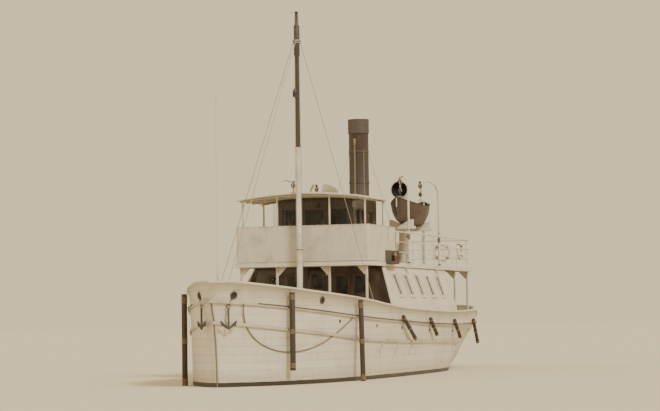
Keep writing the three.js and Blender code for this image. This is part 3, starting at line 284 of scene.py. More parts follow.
@dataclass(frozen=True)
class HullPaint(Paint):
    """White topsides over a dark boot top and a red-brown bottom."""

    boot: Colour = (0.035, 0.028, 0.022)
    bottom: Colour = (0.115, 0.040, 0.026)
    foul: Colour = (0.045, 0.030, 0.020)
    boot_top: float = 0.13
    boot_foot: float = -0.12

    def ground(self, shader: Shader, place: Socket) -> Socket:
        """Colour by height above the waterline, with a wavering edge and a stain above it."""
        height = shader.axes(place)[2]
        wavering = height + (shader.noise(place, 2.2, 3.0) - 0.5) * 0.03
        stain = (1 - wavering.ramp(self.boot_top, self.boot_top + 0.45)) * 0.45
        above = shader.mixed(stain, self.colour, self.worn)
        dark = shader.mixed(wavering > self.boot_foot, self.bottom, self.boot)
        return shader.mixed(wavering > self.boot_top, dark, above)

    def stain(self, shader: Shader, place: Socket) -> Socket:
        """Colour of grime and seams, darker on the bottom."""
        return shader.mixed(shader.axes(place)[2] > self.boot_top, self.foul, self.worn)


@dataclass(frozen=True)
class TwoTone(Paint):
    """Paint of one colour up to a height and another above it."""

    low: Colour = WHITE
    edge: float = 7.55

    def ground(self, shader: Shader, place: Socket) -> Socket:
        """Colour by height."""
        return shader.mixed(shader.axes(place)[2] > self.edge, self.low, self.colour)


@dataclass(frozen=True)
class Planks(Finish):
    """Scrubbed deck planks with dark caulked seams and staggered butts."""

    pitch: float = 0.125
    length: float = 4.2
    seam: Colour = (0.035, 0.028, 0.022)

    def build(self, shader: Shader) -> None:
        """Makes the surface."""
        place = shader.place()
        along, across, _ = shader.axes(place)
        row = across / self.pitch
        number = row.whole()
        shift = along / self.length + shader.scatter(number, 3.0)
        tint = shader.scatter(number, shift.whole())
        side = (row.fraction() - 0.5).size() > 0.47
        butt = (shift.fraction() - 0.5).size() > 0.4975
        gap = side.most(butt)
        grain = shader.noise(shader.stretched(place, (1.2, 26.0, 1.0)), 3.0, 6.0, 0.65)
        wear = shader.noise(place, 0.8, 5.0).ramp(0.4, 0.7)
        wood = shader.mixed(tint * 0.6 + grain * 0.4, self.colour, self.worn)
        faded = shader.mixed(wear * 0.35, wood, (0.46, 0.43, 0.38))
        shader.finish(shader.mixed(gap, faded, self.seam), self.roughness, grain * 0.35 - gap,
                      0.003)


@dataclass(frozen=True)
class Varnish(Finish):
    """Varnished wood with its grain along one axis."""

    grain: Axis = Axis.Z
    coat: float = 0.5

    def build(self, shader: Shader) -> None:
        """Makes the surface."""
        place = shader.place()
        scale = [22.0, 22.0, 22.0]
        scale[self.grain.value] = 1.6
        fibres = shader.noise(shader.stretched(place, tuple(scale)), 1.6, 7.0, 0.62)
        bands = shader.noise(shader.stretched(place, tuple(part / 5 for part in scale)), 1.1, 3.0)
        dull = shader.noise(place, 2.4, 4.0).ramp(0.45, 0.8)
        wood = shader.mixed(fibres.ramp(0.3, 0.72) * 0.7 + bands * 0.3, self.colour, self.worn)
        shader.surface.inputs["Coat Weight"].default_value = self.coat
        shader.surface.inputs["Coat Roughness"].default_value = 0.18
        shader.finish(wood, dull * 0.25 + self.roughness, fibres, 0.0008)


@dataclass(frozen=True)
class Metal(Finish):
    """Bare or painted metal with rust or tarnish in its patches."""

    metallic: float = 0.9
    wear: float = 0.5
    grit: float = 24.0

    def build(self, shader: Shader) -> None:
        """Makes the surface."""
        place = shader.place()
        patches = shader.noise(place, 5.0, 8.0, 0.65).ramp(0.5, 0.72)
        grain = shader.noise(place, self.grit, 4.0)
        streak = shader.noise(shader.stretched(place, (7.0, 7.0, 0.4)), 1.5, 4.0).ramp(0.52, 0.8)
        rust = (patches * self.wear + streak * self.wear * 0.5).least(1.0)
        shader.feed(shader.surface.inputs["Metallic"], (1 - rust) * self.metallic)
        shader.finish(shader.mixed(rust, self.colour, self.worn), rust * 0.3 + self.roughness,
                      grain, 0.0015)


@dataclass(frozen=True)
class Cloth(Finish):
    """Woven cloth with slack creases."""

    threads: float = 320.0

    def build(self, shader: Shader) -> None:
        """Makes the surface."""
        place = shader.place()
        fine = self.threads
        x, y, z = shader.axes(place)
        warp = ((x + y) * fine).fraction() - 0.5
        weft = (z * fine).fraction() - 0.5
        weave = warp.size() + weft.size()
        crease = shader.noise(shader.stretched(place, (1.0, 1.0, 0.45)), 3.4, 5.0, 0.55)
        stain = shader.noise(place, 1.7, 6.0).ramp(0.45, 0.8)
        # The colour goes towards the worn colour with real stains, and along the creases with
        # painted shade.
        shade = (stain * 0.6 + crease.ramp(0.45, 0.8) * 0.35).least(1.0)
        relief = weave * 0.06 + crease
        shader.finish(shader.mixed(shade, self.colour, self.worn), self.roughness, relief, 0.02)


@dataclass(frozen=True)
class Glass(Finish):
    """Window or lamp glass, partly see-through."""

    alpha: float = 0.35

    def build(self, shader: Shader) -> None:
        """Makes the surface."""
        smear = shader.noise(shader.place(), 3.0, 4.0)
        dust = smear.ramp(0.5, 0.9)
        shader.feed(shader.surface.inputs["Alpha"], dust * 0.2 + self.alpha)
        shader.finish(shader.mixed(dust, self.colour, self.worn), dust * 0.2 + self.roughness,
                      smear, 0.004)


@dataclass(frozen=True)
class Rope(Finish):
    """Laid rope, its strands drawn by a slanting ripple."""

    lay: float = 55.0

    def build(self, shader: Shader) -> None:
        """Makes the surface."""
        place = shader.place()
        x, y, z = shader.axes(place)
        ripple = ((x + y + z) * self.lay).fraction() - 0.5
        tuft = shader.noise(place, 90.0, 3.0)
        # The grooves between strands take the darker worn colour as painted shade; the tufts vary
        # the tone at random.
        shade = ripple.size() * 1.4 + tuft * 0.4
        shader.finish(shader.mixed(shade, self.worn, self.colour), self.roughness, ripple.size(),
                      0.004)


HULL = HullPaint("hull_oil_paint", "hull_paint", WHITE, GREY, 0.42, boards=Axis.Z, pitch=0.235,
                 streaks=0.30, grime=0.30)
# A darker copy of the hull's white for the rubbing rails: painted shade along the rails.
RAIL_PAINT = Paint("rail_oil_paint", "hull_paint", (0.50, 0.44, 0.34), (0.26, 0.21, 0.15), 0.45,
                   streaks=0.35)
WHITE_PAINT = Paint("white_oil_paint", "white_paint", WHITE, GREY, 0.42, streaks=0.25, grime=0.35)
RIM_PAINT = replace(WHITE_PAINT, slot="hull_paint")
MATCHBOARD = Paint("matchboard_paint", "white_paint", WHITE, GREY, 0.42, boards=Axis.X, pitch=0.11,
                   streaks=0.3)
BULKHEAD_PAINT = Paint("bulkhead_paint", "white_paint", WHITE, GREY, 0.42, boards=Axis.Y,
                       pitch=0.11, streaks=0.3)
MAST_PAINT = TwoTone("mast_paint", "varnished_wood", (0.060, 0.040, 0.026), (0.11, 0.075, 0.048),
                     0.45, streaks=0.3)
DECK = Planks("deck_planking", "deck_planks", (0.36, 0.27, 0.17), (0.22, 0.155, 0.095), 0.7)
TEAK_Z = Varnish("varnished_teak_upright", "varnished_wood", TEAK, TEAK_WORN, 0.32)
TEAK_X = Varnish("varnished_teak_fore_and_aft", "varnished_wood", TEAK, TEAK_WORN, 0.32,
                 grain=Axis.X)
TEAK_Y = Varnish("varnished_teak_athwart", "varnished_wood", TEAK, TEAK_WORN, 0.32, grain=Axis.Y)
# Near-black boat varnish, darkened to stand for the shade under the boats as well: partly painted
# shade.
BOAT_WOOD = Varnish("boat_varnish", "varnished_wood", (0.042, 0.026, 0.016), (0.090, 0.055, 0.033),
                    0.55, grain=Axis.X, coat=0.1)
ASH = Varnish("scrubbed_ash", "varnished_wood", (0.34, 0.24, 0.13), (0.20, 0.13, 0.07), 0.5,
              grain=Axis.X, coat=0.1)
FUNNEL_PAINT = Metal("funnel_heat_paint", "funnel_paint", (0.070, 0.054, 0.042),
                     (0.135, 0.090, 0.058), 0.55, 0.0, 0.7)
IRON = Metal("black_iron", "black_iron", (0.030, 0.026, 0.024), (0.120, 0.055, 0.028), 0.5, 0.35,
             0.45)
BRASS = Metal("dull_brass", "brass", (0.38, 0.27, 0.12), (0.15, 0.11, 0.06), 0.36, 0.9, 0.5)
OLD_COPPER = Metal("weathered_copper", "brass", (0.22, 0.165, 0.105), (0.12, 0.095, 0.065), 0.55,
                   0.35, 0.8)
BRONZE = Metal("propeller_bronze", "brass", (0.28, 0.185, 0.090), (0.11, 0.13, 0.09), 0.4, 0.9, 0.7)
WIRE = Metal("wire_rope", "wire", (0.30, 0.26, 0.20), (0.20, 0.16, 0.12), 0.5, 0.3, 0.4, 160.0)
# Near-black that fills the fairleads' holes and lines the cowls' mouths: painted shade, which in
# the cowls also stands for their dark inner paint.
HOLLOW_SHADE = Metal("painted_hollow_shade", "black_iron", (0.012, 0.010, 0.008), (0.030, 0.022, 0.016), 0.9, 0.0,
               0.5)
# For these cloths the second colour serves both real stains and the painted shade in their creases.
CANVAS = Cloth("sailcloth", "canvas", (0.60, 0.54, 0.42), (0.36, 0.30, 0.21), 0.85)
CURTAIN = Cloth("curtain_linen", "canvas", (0.62, 0.56, 0.44), (0.42, 0.36, 0.27), 0.9, 500.0)
TIMBER = Varnish("tarred_timber", "fender_timber", (0.030, 0.020, 0.013), (0.080, 0.052, 0.032),
                 0.6, coat=0.05)
# For these ropes the second colour is the painted shade in the grooves between strands, and darker
# fibres at random.
HEMP = Rope("hemp_rope", "rope", (0.36, 0.27, 0.16), (0.11, 0.075, 0.045), 0.85)
TARRED_ROPE = Rope("weathered_rope", "rope", (0.26, 0.21, 0.145), (0.11, 0.085, 0.058), 0.85)
# Brown iron of the stem band; its dark line also stands for the shade edge down the stem: partly
# painted shade.
STEM_IRON = Metal("stem_iron", "black_iron", (0.20, 0.155, 0.11), (0.13, 0.085, 0.055), 0.6, 0.1,
                  0.5)
PANE = Glass("window_pane", "window_glass", (0.045, 0.045, 0.040), (0.16, 0.15, 0.12), 0.06, 0.5)
CURTAINED_PANE = Glass("curtained_pane", "window_glass", (0.22, 0.205, 0.165), (0.34, 0.31, 0.25),
                       0.12, 0.16)
RED_LENS = Glass("red_lens", "window_glass", (0.16, 0.010, 0.007), (0.07, 0.02, 0.015), 0.1, 0.8)
GREEN_LENS = Glass("green_lens", "window_glass", (0.010, 0.16, 0.05), (0.02, 0.08, 0.03), 0.1, 0.8)


class Bench:
    """Mesh work with operators. Every result lies at the origin, with its place in its mesh."""

    @staticmethod
    def pick(*pieces: Piece) -> None:
        """Selects only these pieces and makes the first one active."""
        bpy.ops.object.select_all(action="DESELECT")
        for piece in pieces:
            piece.select_set(True)
        bpy.context.view_layer.objects.active = pieces[0]

    @classmethod
    def edit(cls, piece: Piece, work: Callable[[], object]) -> Piece:
        """Runs operators in edit mode with all of the piece selected."""
        cls.pick(piece)
        bpy.ops.object.mode_set(mode="EDIT")
        bpy.ops.mesh.select_all(action="SELECT")
        work()
        bpy.ops.object.mode_set(mode="OBJECT")
        return piece

    @classmethod
    def settle(cls, piece: Piece) -> Piece:
        """Puts the piece's place, turn and scale into its mesh."""
        cls.pick(piece)
        bpy.ops.object.transform_apply(location=True, rotation=True, scale=True)
        return piece

    @staticmethod
    def aimed(place: Point, along: Point, start: Point = UP) -> Matrix:
        """Move to a place, after the turn from the start direction to another one."""
        turn = Vector(start).rotation_difference(Vector(along)).to_matrix().to_4x4()
        return Matrix.Translation(Vector(place)) @ turn

    @classmethod
    def curve(cls, outlines: Sequence[Sequence[Sequence[float]]], smooth: bool = False,
              closed: bool = False, **settings: object) -> Piece:
        """Mesh made from a curve through points.

        Args:
            outlines: points of each line, flat or in space.
            smooth: whether the lines curve through their points.
            closed: whether the lines run back to their start.
            settings: properties of the curve.

        Returns:
            The piece.
        """
        bpy.ops.object.select_all(action="DESELECT")
        bpy.ops.object.add(type="CURVE")
        line = bpy.context.object.data
        for key, value in settings.items():
            setattr(line, key, value)
        for outline in outlines:
            spline = line.splines.new("NURBS" if smooth else "POLY")
            spline.points.add(len(outline) - 1)
            for knot, place in zip(spline.points, outline):
                knot.co = (*Vector(place).to_3d(), 1.0)
            spline.use_cyclic_u = closed
            if smooth:
                spline.order_u = 3
                spline.use_endpoint_u = True
        bpy.ops.object.convert(target="MESH")
        return bpy.context.object

    @classmethod
    def block(cls, low: Point, high: Point, bevel: float = 0.006) -> Piece:
        """Box with its edges rounded over.

        Args:
            low: lowest corner.
            high: highest corner.
            bevel: width of the rounding.

        Returns:
            The piece.
        """
        size = Vector(high) - Vector(low)
        bpy.ops.mesh.primitive_cube_add(size=1.0, location=(Vector(low) + Vector(high)) / 2,
                                        scale=size)
        piece = cls.settle(bpy.context.object)
        width = min(bevel, min(abs(part) for part in size) * 0.35)
        bevel_edges = partial(bpy.ops.mesh.bevel, offset=width, segments=2, affect="EDGES")
        return cls.edit(piece, bevel_edges)

    @classmethod
    def turned(cls, rows: Sequence[Flat], foot: Point, sides: int = 24,
               along: Point = UP) -> Piece:
        """Solid of revolution drawn up from a disc by extruding and scaling its rim.

        Args:
            rows: radius and height of each ring, from the foot.
            foot: place of height zero.
            sides: sides of each ring.
            along: direction of the axis.

        Returns:
            The piece.
        """
        first, start = rows[0]
        bpy.ops.mesh.primitive_circle_add(vertices=sides, radius=first, location=(0, 0, start),
                                          fill_type="NGON")
        piece = bpy.context.object

        def draw_up() -> None:
            radius, height = first, start
            for next_radius, next_height in rows[1:]:
                rise = (0, 0, next_height - height)
                bpy.ops.mesh.extrude_region_move(TRANSFORM_OT_translate={"value": rise})
                grow = next_radius / radius
                bpy.ops.transform.resize(value=(grow, grow, 1), center_override=(0, 0, next_height))
                radius, height = next_radius, next_height
            bpy.ops.mesh.select_all(action="SELECT")
            bpy.ops.mesh.normals_make_consistent(inside=False)

        cls.edit(piece, draw_up)
        return cls.placed(cls.settle(piece), cls.aimed(foot, along))

    @classmethod
    def pipe(cls, points: Sequence[Point], radius: float, sides: int = 10,
             smooth: bool = False) -> Piece:
        """Round bar along points, closed at its ends.

        Args:
            points: the centre line.
            radius: radius of the bar.
            sides: sides of its section.
            smooth: whether the line curves through the points.

        Returns:
            The piece.
        """
        return cls.curve([points], smooth, dimensions="3D", bevel_depth=radius, resolution_u=4,
                         bevel_resolution=max(sides // 2 - 2, 0), use_fill_caps=True)

    @classmethod
    def ring(cls, centre: Point, radius: float, thick: float, along: Point = UP,
             sides: int = 28) -> Piece:
        """Ring of round bar, slightly flattened against what carries it.

        Args:
            centre: middle of the ring.
            radius: to the middle of the bar.
            thick: radius of the bar.
            along: axis of the ring.
            sides: steps round the ring.

        Returns:
            The piece.
        """
        bpy.ops.mesh.primitive_torus_add(major_radius=radius, minor_radius=thick,
                                         major_segments=sides, minor_segments=8)
        flatten = partial(bpy.ops.transform.resize, value=(1, 1, 0.85), center_override=(0, 0, 0))
        piece = cls.edit(bpy.context.object, flatten)
        return cls.placed(piece, cls.aimed(centre, along))

    @classmethod
    def copy(cls, piece: Piece, place: Matrix) -> Piece:
        """Copy with its own mesh, moved by a matrix; a mirror's faces are turned right again."""
        twin = piece.copy()
        twin.data = piece.data.copy()
        bpy.context.collection.objects.link(twin)
        twin.data.transform(place)
        if place.determinant() < 0:
            twin.data.flip_normals()
        return twin

    @classmethod
    def joined(cls, pieces: Sequence[Piece]) -> Piece:
        """All the pieces as one mesh."""
        cls.pick(*pieces)
        if len(pieces) > 1:
            bpy.ops.object.join()
        return bpy.context.view_layer.objects.active

    @classmethod
    def row(cls, piece: Piece, places: Iterable[Point]) -> Piece:
        """The piece repeated at each shift from where it is, as one mesh."""
        twins = [cls.copy(piece, Matrix.Translation(Vector(place))) for place in places]
        bpy.data.objects.remove(piece)
        return cls.joined(twins)

    @classmethod
    def both_sides(cls, piece: Piece) -> Piece:
        """The piece and its mirror image across the centreline, as one mesh."""
        return cls.joined([piece, cls.copy(piece, Matrix.Scale(-1, 4, (0, 1, 0)))])

    @classmethod
    def smooth(cls, piece: Piece, degrees: float = 32.0) -> Piece:
        """Shades soft bends smooth and keeps corners sharp."""
        cls.pick(piece)
        bpy.ops.object.shade_smooth_by_angle(angle=math.radians(degrees))
        return piece

    @classmethod
    def placed(cls, piece: Piece, place: Matrix) -> Piece:
        """The piece with its mesh moved by a matrix."""
        piece.data.transform(place)
        return piece

    @classmethod
    def plate(cls, outlines: Sequence[Sequence[Flat]], thick: float, bevel: float = 0.002) -> Piece:
        """Flat plate in the XY plane with its edges rounded.

        Args:
            outlines: the plate's corners, then those of each hole in it.
            thick: whole thickness along Z.
            bevel: width of the rounding.

        Returns:
            The piece.
        """
        piece = cls.curve(outlines, closed=True, dimensions="2D", fill_mode="BOTH",
                          extrude=thick / 2 - bevel, bevel_depth=bevel)

        def tidy() -> None:
            bpy.ops.mesh.remove_doubles(threshold=0.00002)
            bpy.ops.mesh.normals_make_consistent(inside=False)

        return cls.edit(piece, tidy)

    @classmethod
    def ribbon(cls, points: Sequence[Flat], low: float, high: float, cuts: int,
               slack: float) -> Piece:
        """Upright strip of cloth that follows points in plan.

        Args:
            points: the strip's course.
            low: height of its foot.
            high: height of its head.
            cuts: new rows between its first ones.
            slack: how far its creases stand out.

        Returns:
            The piece.
        """
        piece = cls.curve([points], dimensions="2D", fill_mode="NONE", extrude=(high - low) / 2)
        cls.placed(piece, Matrix.Translation((0, 0, (low + high) / 2)))
        if cuts:
            cls.edit(piece, lambda: bpy.ops.mesh.subdivide(number_cuts=cuts))
            creases = bpy.data.textures.new("creases", "CLOUDS")
            creases.noise_scale = 0.45
            cls.modify(piece, "DISPLACE", texture=creases, texture_coords="GLOBAL", strength=slack,
                       mid_level=0.5)
        return cls.modify(piece, "SOLIDIFY", thickness=0.002, offset=0.0)

    @classmethod
    def grid(cls, columns: int, rows: int, place: Callable[[float, float], Point]) -> Piece:
        """Grid whose corners are shaped onto a surface.

        Args:
            columns: faces one way.
            rows: faces the other way.
            place: point of the surface at two shares from 0 to 1.

        Returns:
            The piece.
        """
        bpy.ops.mesh.primitive_grid_add(x_subdivisions=columns, y_subdivisions=rows, size=1.0)
        piece = bpy.context.object
        for corner in piece.data.vertices:
            corner.co = place(corner.co.x + 0.5, corner.co.y + 0.5)
        return piece

    @classmethod
    def coil(cls, path: Sequence[Point], radius: float, pitch: float, thick: float) -> Piece:
        """Rope wound round a line.

        Args:
            path: the line.
            radius: from the line to the middle of the rope.
            pitch: length of the line under one turn.
            thick: radius of the rope.

        Returns:
            The piece.
        """
        points = []
        spin = 0.0
        for start, end in zip(path, path[1:]):
            start, ahead = Vector(start), Vector(end) - Vector(start)
            level = ahead.cross(Vector(UP))
            level = Vector((0, 1, 0)) if level.length < 0.001 else level.normalized()
            upright = level.cross(ahead).normalized()
            steps = max(round(ahead.length / pitch * 8), 1)
            for step in range(steps):
                outward = level * math.cos(spin) + upright * math.sin(spin)
                points.append(start + ahead * (step / steps) + outward * radius)
                spin += math.tau / 8
        return cls.pipe(points, thick, 6)

    @classmethod
    def chain(cls, start: Point, end: Point, link: float = 0.09) -> Piece:
        """Taut chain of links that lie across each other in turn.

        Args:
            start: first end.
            end: other end.
            link: length of a link.

        Returns:
            The piece.
        """
        ahead = Vector(end) - Vector(start)
        count = max(round(ahead.length / (link * 0.72)), 1)
        bpy.ops.mesh.primitive_torus_add(major_radius=link * 0.32, minor_radius=link * 0.085,
                                         major_segments=12, minor_segments=6)
        stretch = partial(bpy.ops.transform.resize, value=(1.35, 1, 1), center_override=(0, 0, 0))
        first = cls.edit(bpy.context.object, stretch)
        links = []
        for number in range(count):
            where = Vector(start) + ahead * ((number + 0.5) / count)
            spin = Matrix.Rotation(math.pi / 2 * (number % 2), 4, "X")
            links.append(cls.copy(first, cls.aimed(where, ahead, (1, 0, 0)) @ spin))
        bpy.data.objects.remove(first)
        return cls.joined(links)

    @classmethod
    def knobs(cls, radius: float, places: Iterable[tuple[Vector, Vector]]) -> Piece:
        """Rivet heads or nuts, each at a place and facing outwards from it."""
        rows = ((radius, -0.002), (radius * 0.95, radius * 0.3), (radius * 0.55, radius * 0.6))
        return cls.joined([cls.turned(rows, place, 6, outward) for place, outward in places])

    @classmethod
    def modify(cls, piece: Piece, kind: str, **settings: object) -> Piece:
        """Adds a modifier with its settings and applies it."""
        cls.pick(piece)
        modifier = piece.modifiers.new(kind.lower(), kind)
        for key, value in settings.items():
            setattr(modifier, key, value)
        bpy.ops.object.modifier_apply(modifier=modifier.name)
        return piece

    @classmethod
    def from_node(cls, node: str, bevel: float = 0.0) -> Piece:
        """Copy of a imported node, merged, with its flat faces whole and its edges rounded.

        Args:
            node: name of the node.
            bevel: width of the rounding, or 0 for none.

        Returns:
            The piece.
        """
        twin = cls.copy(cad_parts[node], Matrix.Identity(4))
        twin.parent = None
        for key in list(twin.keys()):
            del twin[key]

        def merge() -> None:
            bpy.ops.mesh.remove_doubles(threshold=0.00005)
            bpy.ops.mesh.dissolve_limited(angle_limit=math.radians(0.5))

        cls.edit(twin, merge)
        if bevel:
            cls.modify(twin, "BEVEL", width=bevel, segments=2, limit_method="ANGLE",
                       angle_limit=math.radians(35), use_clamp_overlap=True)
        return twin


def fit(pieces: Piece | Sequence[Piece], name: str, finish: Finish, body: str = "ship",
        stands_for: Sequence[str] = (), degrees: float = 32.0) -> Piece:
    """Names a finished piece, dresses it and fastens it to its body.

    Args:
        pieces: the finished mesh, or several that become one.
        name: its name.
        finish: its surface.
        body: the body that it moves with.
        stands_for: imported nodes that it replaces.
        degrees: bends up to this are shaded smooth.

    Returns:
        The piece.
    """
    piece = Bench.joined(pieces) if isinstance(pieces, list) else pieces
    Bench.smooth(piece, degrees)
    piece.name = name
    piece.data.name = name
    piece.data.materials.clear()
    piece.data.materials.append(finish.material())
    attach(piece, body)
    if stands_for:
        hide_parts(*stands_for)
    LOG.info("%s: %d faces", name, len(piece.data.polygons))
    return piece


MOVING = ("propeller", "rudder", "saloon_door_fore", "saloon_door_aft", "wheelhouse_door_port",
          "wheelhouse_door_starboard", "cowl_port", "cowl_starboard", "skylight_lid_port",
          "skylight_lid_starboard", "davit_port_fore", "davit_port_aft", "davit_starboard_fore",
          "davit_starboard_aft", "windlass_barrel", "fore_hatch_lid")


@dataclass(frozen=True)
class NodeDress:
    """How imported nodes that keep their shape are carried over."""

    finish: Finish
    nodes: tuple[str, ...]
    bevel: float = 0.005
    degrees: float = 32.0

    def build(self) -> None:
        """Dresses merged and rounded copies of the nodes; one with a joint rides its own body."""
        for node in self.nodes:
            body = node if node in MOVING else "ship"
            fit(Bench.from_node(node, self.bevel), f"{node}_finished", self.finish, body, (node,),
                self.degrees)


CARRIED = (
    NodeDress(HULL, ("hull",), 0.0, 24.0),
    NodeDress(HULL, ("bulwark_fore", "bulwark_aft"), 0.0, 30.0),
    NodeDress(RAIL_PAINT, ("rub_rail_upper", "rub_rail_lower"), 0.0, 30.0),
    NodeDress(DECK, ("main_deck",), 0.0, 30.0),
    NodeDress(DECK, ("upper_deck",)),
    NodeDress(BRONZE, ("propeller",), 0.0, 40.0),
    NodeDress(WHITE_PAINT, ("deck_frame_fore", "deck_frame_aft", "deck_frame_last")),
    NodeDress(WHITE_PAINT, ("engine_casing",), 0.02),
    NodeDress(WHITE_PAINT, ("bridge_roof",), 0.012),
    NodeDress(WHITE_PAINT, ("boat_skid_fore", "boat_skid_aft"), 0.006),
    NodeDress(WHITE_PAINT, ("cowl_port", "cowl_starboard", "jackstaff", "ensign_staff"), 0.0, 50.0),
    NodeDress(WHITE_PAINT, ("davit_port_fore", "davit_port_aft", "davit_starboard_fore",
                            "davit_starboard_aft"), 0.0, 60.0),
    NodeDress(MATCHBOARD, ("saloon_side_port", "saloon_side_starboard"), 0.006),
    NodeDress(BULKHEAD_PAINT, ("saloon_bulkhead_aft",), 0.006),
    # The fore bulkhead is dark teak where the aft one is white; the dark also stands for the shade
    # under the upper deck's fore end: partly painted shade.
    NodeDress(TEAK_Z, ("saloon_bulkhead_fore",), 0.006),
    NodeDress(TEAK_Z, ("saloon_door_fore", "saloon_door_aft", "wheelhouse_door_port",
                       "wheelhouse_door_starboard"), 0.004),
    NodeDress(TEAK_Z, ("wheelhouse",), 0.0),
    NodeDress(TEAK_Y, ("upper_deck_stair",), 0.004),
    NodeDress(TEAK_X, ("engine_skylight", "fore_hatch"), 0.008),
    NodeDress(TEAK_X, ("skylight_lid_port", "skylight_lid_starboard"), 0.004),
    NodeDress(TEAK_X, ("fore_hatch_lid",), 0.01),
    NodeDress(MAST_PAINT, ("mast",), 0.004),
    NodeDress(FUNNEL_PAINT, ("funnel",), 0.0, 30.0),
    NodeDress(OLD_COPPER, ("steam_whistle",), 0.003),
    NodeDress(WIRE, ("mast_stays",), 0.0, 40.0),
    NodeDress(TIMBER, ("fenders_port", "fenders_starboard"), 0.008),
    NodeDress(IRON, ("rudder",), 0.008),
    NodeDress(IRON, ("windlass_bitts",), 0.01),
    NodeDress(IRON, ("windlass_barrel", "anchor_port", "anchor_starboard"), 0.006, 40.0),
    NodeDress(IRON, ("sidelight_port", "sidelight_starboard")),
)

STEM = 11.5
UPPER_DECK = 3.8
WHEELHOUSE_FLOOR = 3.842
FORE_BULKHEAD, AFT_BULKHEAD = 1.95, -6.0
CASING_HALF = 0.9
COWL_X, COWL_OUT, COWL_UP = -4.1, 1.25, 6.5
BOAT_OUT = 1.95
DAVIT_OUT = 2.43
SIDES = {"port": 1, "starboard": -1}


def at(aft: float, out: float, up: float) -> Vector:
    """Place from metres aft of the stem, out to port and up from the waterline."""
    return Vector((STEM - aft, out, up))


def rect(left: float, low: float, right: float, high: float) -> list[Flat]:
    """Corners of an upright rectangle."""
    return [(left, low), (right, low), (right, high), (left, high)]


def lift(height: float) -> Vector:
    """Step straight up."""
    return Vector((0, 0, height))


def around(count: int, radius: float, shift: float = 0.0) -> list[Vector]:
    """Points round a circle in the XY plane, the first one some steps from the X axis."""
    angles = [math.tau * (step + shift) / count for step in range(count)]
    return [Vector((math.cos(angle), math.sin(angle), 0)) * radius for angle in angles]


def facing(place: Vector, outward: Vector) -> Matrix:
    """Frame at a place on a wall: X along the wall, Y up it and Z out of it."""
    outward = Vector(outward).normalized()
    along = Vector(UP).cross(outward).normalized()
    rise = outward.cross(along)
    return Matrix.Translation(place) @ Matrix((along, rise, outward)).transposed().to_4x4()


class Probe:
    """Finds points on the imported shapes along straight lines."""

    trees: dict[str, BVHTree] = {}

    @classmethod
    def hit(cls, node: str, start: Point, towards: Point) -> tuple[Vector, Vector] | None:
        """First point of a node on a line, and the face's normal there.

        Args:
            node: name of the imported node.
            start: where the line starts.
            towards: direction of the line.

        Returns:
            The point and the outward normal, or None where the line misses.
        """
        if node not in cls.trees:
            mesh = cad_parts[node].data
            corners = [corner.co for corner in mesh.vertices]
            faces = [face.vertices for face in mesh.polygons]
            cls.trees[node] = BVHTree.FromPolygons(corners, faces)
        place, normal, _, _ = cls.trees[node].ray_cast(Vector(start), Vector(towards).normalized())
        return (place, normal) if place else None

    @classmethod
    def side(cls, node: str, aft: float, up: float, side: int) -> tuple[Vector, Vector] | None:
        """Outer face of a node at a distance aft and a height, on one side, if it is there."""
        return cls.hit(node, at(aft, side * 5.0, up), (0, -side, 0))

    @classmethod
    def deck(cls, aft: float, out: float = 0.0) -> float:
        """Height of the main deck, or of its nearest part inboard."""
        hits = (cls.hit("main_deck", at(aft, out * share, 3.4), (0, 0, -1))
                for share in (1.0, 0.93, 0.86, 0.7, 0.0))
        return next(hit[0].z for hit in hits if hit)


@dataclass(frozen=True)
class Porthole:
    """Round window with a bolted rim."""

    radius: float = 0.15
    rim: Finish = OLD_COPPER
    pane: Finish = PANE
    border: float = 0.045

    def fit(self, name: str, places: Sequence[tuple[Vector, Vector]]) -> None:
        """Fits rims, nuts and panes at places with their outward directions."""
        inner, outer = self.radius, self.radius + self.border
        rim = ((outer, -0.01), (outer, 0.012), (outer - 0.012, 0.024), (inner + 0.006, 0.024),
               (inner, 0.006))
        pane = ((inner - 0.002, 0.0), (inner - 0.003, 0.008), (inner * 0.6, 0.012),
                (inner * 0.2, 0.014))
        rims = [Bench.turned(rim, place, 24, outward) for place, outward in places]
        panes = [Bench.turned(pane, place, 20, outward) for place, outward in places]
        nuts = [(facing(place, outward) @ (spot + lift(0.022)), outward)
                for place, outward in places for spot in around(6, outer - 0.017)]
        fit([*rims, Bench.knobs(0.008, nuts)], f"{name}_rims", self.rim)
        fit(panes, f"{name}_panes", self.pane)


